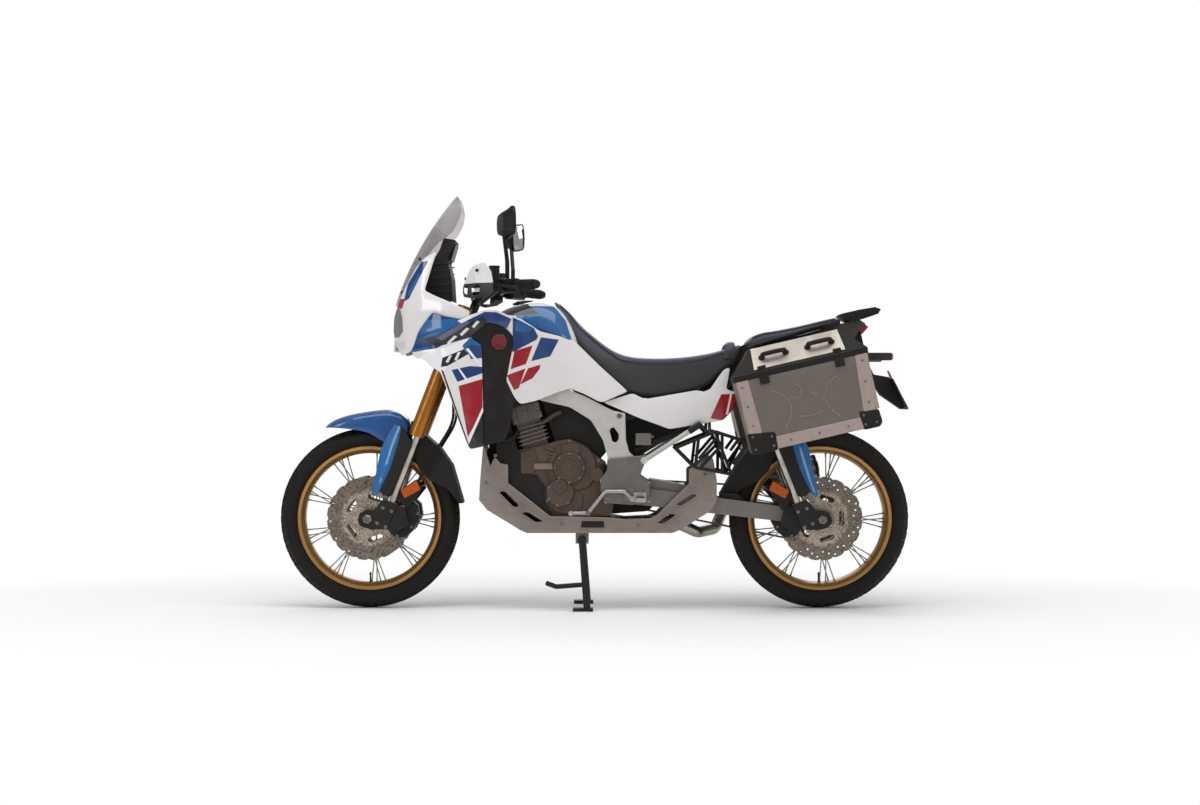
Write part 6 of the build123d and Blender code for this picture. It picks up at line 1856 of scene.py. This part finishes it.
# ---- tail
class MOTORCYCLE_OT_tail(bpy.types.Operator):
    """Tail cowl, rack, lamps and plate holder"""
    bl_idname = "motorcycle.tail"
    bl_label = "Tail"

    def execute(self, context):
        paint_nodes(tail_cowl="grey plastic", rear_rack="satin plastic", plate_holder="black plastic",
                    rear_lamps="tail lamp paint")
        rack = Shape("satin plastic", "grip rubber")
        for side in (-92, -56, -36, 0, 36, 56, 92):
            rack.use("grip rubber" if side in (-36, 0, 36) else "satin plastic")
            rack.rod((918, side, 1094), (985, side, 1109.5), 3, 8).rod((985, side, 1109.5), (1044, side, 1119), 3, 8)
        rack.use("satin plastic")
        for side in (-1, 1):  # grab rails along the seat's lower edge
            rack.tube([(566, side * 128, 952), (590, side * 150, 974), (700, side * 152, 1008), (840, side * 148, 1050),
                       (905, side * 118, 1066)], 9.5, 12)
        rack.build("rack_ribs", "chassis")
        plate = Shape("plate blank", "black plastic", "orange lens", "red lens")
        plate.prism([(1110, 852), (1165, 746), (1167, 747), (1112, 853)], -86, 86)
        for side in (-183, 151):
            plate.use("orange lens").box((1090, side, 925), (1098, side + 32, 947), 3)
        plate.use("red lens").turned((1105, 0, 868), (0.9, 0, 0.4), [(0, 20), (4, 20), (5, 18), (5, 0)], 24)
        plate.build("plate_and_lenses", "chassis")
        return {"FINISHED"}


# ---- side cases
def stood(shape):
    """Tilts a shape made in a case's own upright frame: run, side and up."""
    for vert in shape.mesh.verts:
        vert.co = case_point(vert.co.x, -vert.co.y, vert.co.z)
    return shape


class MOTORCYCLE_OT_cases(bpy.types.Operator):
    """Aluminium side cases with corner guards, latches and handles"""
    bl_idname = "motorcycle.cases"
    bl_label = "Side cases"

    def body(self):
        """Strips, pressed ribs, corner caps and rivets of both cases."""
        strips = Shape("trim metal", "case metal")
        for loop in ([(1, 70), (46, 66), (38, 264), (-6, 264)], [(415, 60), (460, 58), (475, 264), (430, 264)],
                     [(88, 2), (404, 2), (400, 42), (90, 44)]):
            strips.plate([rounded(loop, 4)], 428, 432.4, 1.4)
        for low, high in (((-4.5, 392, 74), (-2, 431, 262)), ((462, 392, 60), (474, 431, 262))):
            strips.box((low[0], -high[1], low[2]), (high[0], -low[1], high[2]), 1)
        strips.use("case metal")
        for mirror in (False, True):  # pressed ribs
            for points in ([(112, 206), (148, 182), (166, 146), (160, 104), (132, 66)],
                           [(196, 214), (214, 196), (212, 168), (190, 158)]):
                run = [(460 - x if mirror else x, -429.4, z) for x, z in points]
                strips.tube(run, 3.4, 8)
        strips.tube([(190, -429.4, 96), (230, -429.4, 90), (270, -429.4, 96)], 3.4, 8)
        stood(strips).mirror().build("case_strips", "chassis")
        caps = Shape("black plastic", "bolt steel")
        for loop in ([(-4, -4), (86, -4), (92, 56), (84, 64), (-6, 76)],
                     [(404, -4), (462, -4), (474, 12), (470, 58), (398, 64)]):
            caps.plate([rounded(loop, 7)], 372, 434.5, 3)
        caps.plate([rounded([(-9.5, 262), (479.5, 262), (480.5, 284.6), (-10.5, 284.6)], 3)], 416, 432.5, 1.5)
        for run in (-9.5, 474):
            caps.box((run, -431, 262), (run + 5.5, -202, 284.6), 1.5)
        for run in (96, 372):
            caps.box((run - 17, -437, 236), (run + 17, -428, 272), 3)
        stood(caps).mirror().build("case_caps", "chassis")
        spots = {434.5: [(10, 14), (76, 14), (76, 48), (8, 60), (412, 14), (452, 14), (412, 48)],
                 432.4: [(20, 100), (16, 170), (12, 240), (442, 90), (446, 165), (452, 240), (140, 22), (245, 22),
                         (350, 22)]}
        rivets = [case_point(run, side, up) for side, places in spots.items() for run, up in places]
        bolts("case_rivets", "chassis", flanks(rivets), 3.6)

    def lid(self, name, node, hand):
        """A lid's sheet with its handles and latches; hand is -1 on the left and 1 on the right."""
        shape = Shape("lid metal", "black plastic", "bolt steel")

        def skin(u, v):
            """The sheet over the lid's sloping flank and its flat top."""
            foot, fold, far = (68, 424.6, 292), (75, 367, 367.4), (75, 218, 367.4)
            low, high, share = (foot, fold, v / 0.5) if v < 0.55 else (fold, far, (v - 0.5) / 0.5)
            run, side, up = (a + (b - a) * min(share, 1) for a, b in zip(low, high))
            return Vector((470 - run + (2 * run - 470) * u, -side, up))
        shape.sheet(skin, 12, 4, 1.6)
        shape.use("black plastic")
        for middle in (150, 318):
            for offset in (-44, 44):
                shape.turned((middle + offset, -397, 329), (0, -0.72, 0.62), [(-8, 12), (4, 12), (7, 9), (7, 0)], 16)
            shape.tube([(middle + shift, side, up) for shift, side, up in
                        ((-40, -404, 335), (-34, -415, 341), (34, -415, 341), (40, -404, 335))], 8.2, 12)
        for run in (96, 372):
            shape.box((run - 15, -430, 288), (run + 15, -421, 303), 2.5)
        stood(shape)
        if hand > 0:
            for vert in shape.mesh.verts:
                vert.co.y *= -1
            bmesh.ops.reverse_faces(shape.mesh, faces=shape.mesh.faces[:])
        shape.build(name, node)

    def execute(self, context):
        paint_nodes(side_cases="case metal", left_case_lid="black plastic", right_case_lid="black plastic")
        self.body()
        self.lid("left_lid_skin", "left_case_lid", -1)
        self.lid("right_lid_skin", "right_case_lid", 1)
        return {"FINISHED"}




# ---- studio
class MOTORCYCLE_OT_stage(bpy.types.Operator):
    """Pale floor, soft lamps and the camera"""
    bl_idname = "motorcycle.stage"
    bl_label = "Studio"

    def floor(self):
        """A pale floor that fades to plain white for the camera."""
        bpy.ops.mesh.primitive_circle_add(vertices=96, radius=30, fill_type="NGON", location=(0, 0, -0.0005))
        floor = bpy.context.object
        floor.name = "studio_floor"
        shader = Shader("studio floor", Roughness=0.7, Specular_IOR_Level=0.1, Base_Color=(0.93, 0.93, 0.93, 1))
        x, y, _ = shader.axes()
        reach = shader.math("SQRT", x * x * 0.55 + y * y)
        seen = shader.node("LightPath", out="Is Camera Ray")
        white = shader.node("Emission", None, {0: (1, 1, 1, 1)})
        matt = Value(shader, shader.surface.outputs[0])
        blend = shader.node("MixShader", None, {0: shader.range(reach, 0.9, 2.2) * seen, 1: matt, 2: white})
        plug(shader.tree, shader.tree.nodes["Material Output"].inputs["Surface"], blend)
        floor.data.materials.append(shader.material)

    def world(self):
        """White behind the object, dimmer where it lights or is mirrored in the paint."""
        world = bpy.data.worlds.new("studio")
        bpy.context.scene.world = world
        world.use_nodes = True
        tree = world.node_tree
        back = tree.nodes["Background"]
        back.inputs[0].default_value = (1, 1, 1, 1)
        path = tree.nodes.new("ShaderNodeLightPath").outputs
        seen = math_node(tree, "MAXIMUM", path["Is Camera Ray"], path["Is Transmission Ray"])
        unseen = math_node(tree, "MULTIPLY_ADD", path["Is Glossy Ray"], -0.2, 0.55)
        tree.links.new(math_node(tree, "MAXIMUM", seen, unseen), back.inputs[1])

    def lamp(self, name, place, aim, width, height, power):
        data = bpy.data.lights.new(name, "AREA")
        data.shape = "RECTANGLE"
        data.size, data.size_y, data.energy = width, height, power
        made = bpy.data.objects.new(name, data)
        made.location = place
        made.rotation_euler = (Vector(aim) - Vector(place)).to_track_quat("-Z", "Y").to_euler()
        bpy.context.scene.collection.objects.link(made)

    def execute(self, context):
        self.floor()
        self.world()
        self.lamp("overhead softbox", (0, -1.2, 4.6), (0, 0, 0.5), 5.0, 2.6, 105)
        self.lamp("front strip", (-3.8, -3.4, 2.6), (-0.2, 0, 0.7), 1.2, 2.6, 42)
        self.lamp("rear strip", (4.2, -3.0, 2.4), (0.4, 0, 0.7), 1.2, 2.6, 30)
        self.lamp("far fill", (0.5, 4.2, 2.4), (0, 0, 0.7), 3.0, 1.6, 30)
        camera = bpy.data.objects.new("camera", bpy.data.cameras.new("camera"))
        camera.data.lens, camera.data.sensor_width = 72, 36
        camera.location = (0.0206, -9.0, 0.767)
        camera.rotation_euler = (pi / 2, 0, 0)
        bpy.context.scene.collection.objects.link(camera)
        bpy.context.scene.camera = camera
        bpy.context.scene.view_settings.view_transform = "Standard"
        return {"FINISHED"}


# ---- add-on
class MOTORCYCLE_PT_sidebar(bpy.types.Panel):
    """Lists the steps that dress the frame"""
    bl_label = "Motorcycle"
    bl_idname = "MOTORCYCLE_PT_sidebar"
    bl_space_type = "VIEW_3D"
    bl_region_type = "UI"
    bl_category = "Motorcycle"

    def draw(self, context):
        for step in STEPS:
            self.layout.operator(step.bl_idname)
        for group in (context.scene.motorcycle_sizes, context.scene.motorcycle_colours):
            box = self.layout.box()
            for key in group.__annotations__:
                box.prop(group, key)


STEPS = (MOTORCYCLE_OT_wheels, MOTORCYCLE_OT_fork, MOTORCYCLE_OT_bodywork, MOTORCYCLE_OT_seats, MOTORCYCLE_OT_frame,
         MOTORCYCLE_OT_engine, MOTORCYCLE_OT_cockpit, MOTORCYCLE_OT_tail, MOTORCYCLE_OT_cases, MOTORCYCLE_OT_stage)
CLASSES = (MotorcycleColours, MotorcycleSizes, *STEPS, MOTORCYCLE_PT_sidebar)


def register():
    for item in CLASSES:
        bpy.utils.register_class(item)
    bpy.types.Scene.motorcycle_colours = PointerProperty(type=MotorcycleColours)
    bpy.types.Scene.motorcycle_sizes = PointerProperty(type=MotorcycleSizes)


def unregister():
    del bpy.types.Scene.motorcycle_sizes
    del bpy.types.Scene.motorcycle_colours
    for item in reversed(CLASSES):
        bpy.utils.unregister_class(item)


def main():
    register()
    for step in STEPS:
        group, operator = step.bl_idname.split(".")
        if getattr(getattr(bpy.ops, group), operator)() != {"FINISHED"}:
            raise RuntimeError(f"{step.bl_label} didn't finish")


if __name__ == "__main__":
    main()
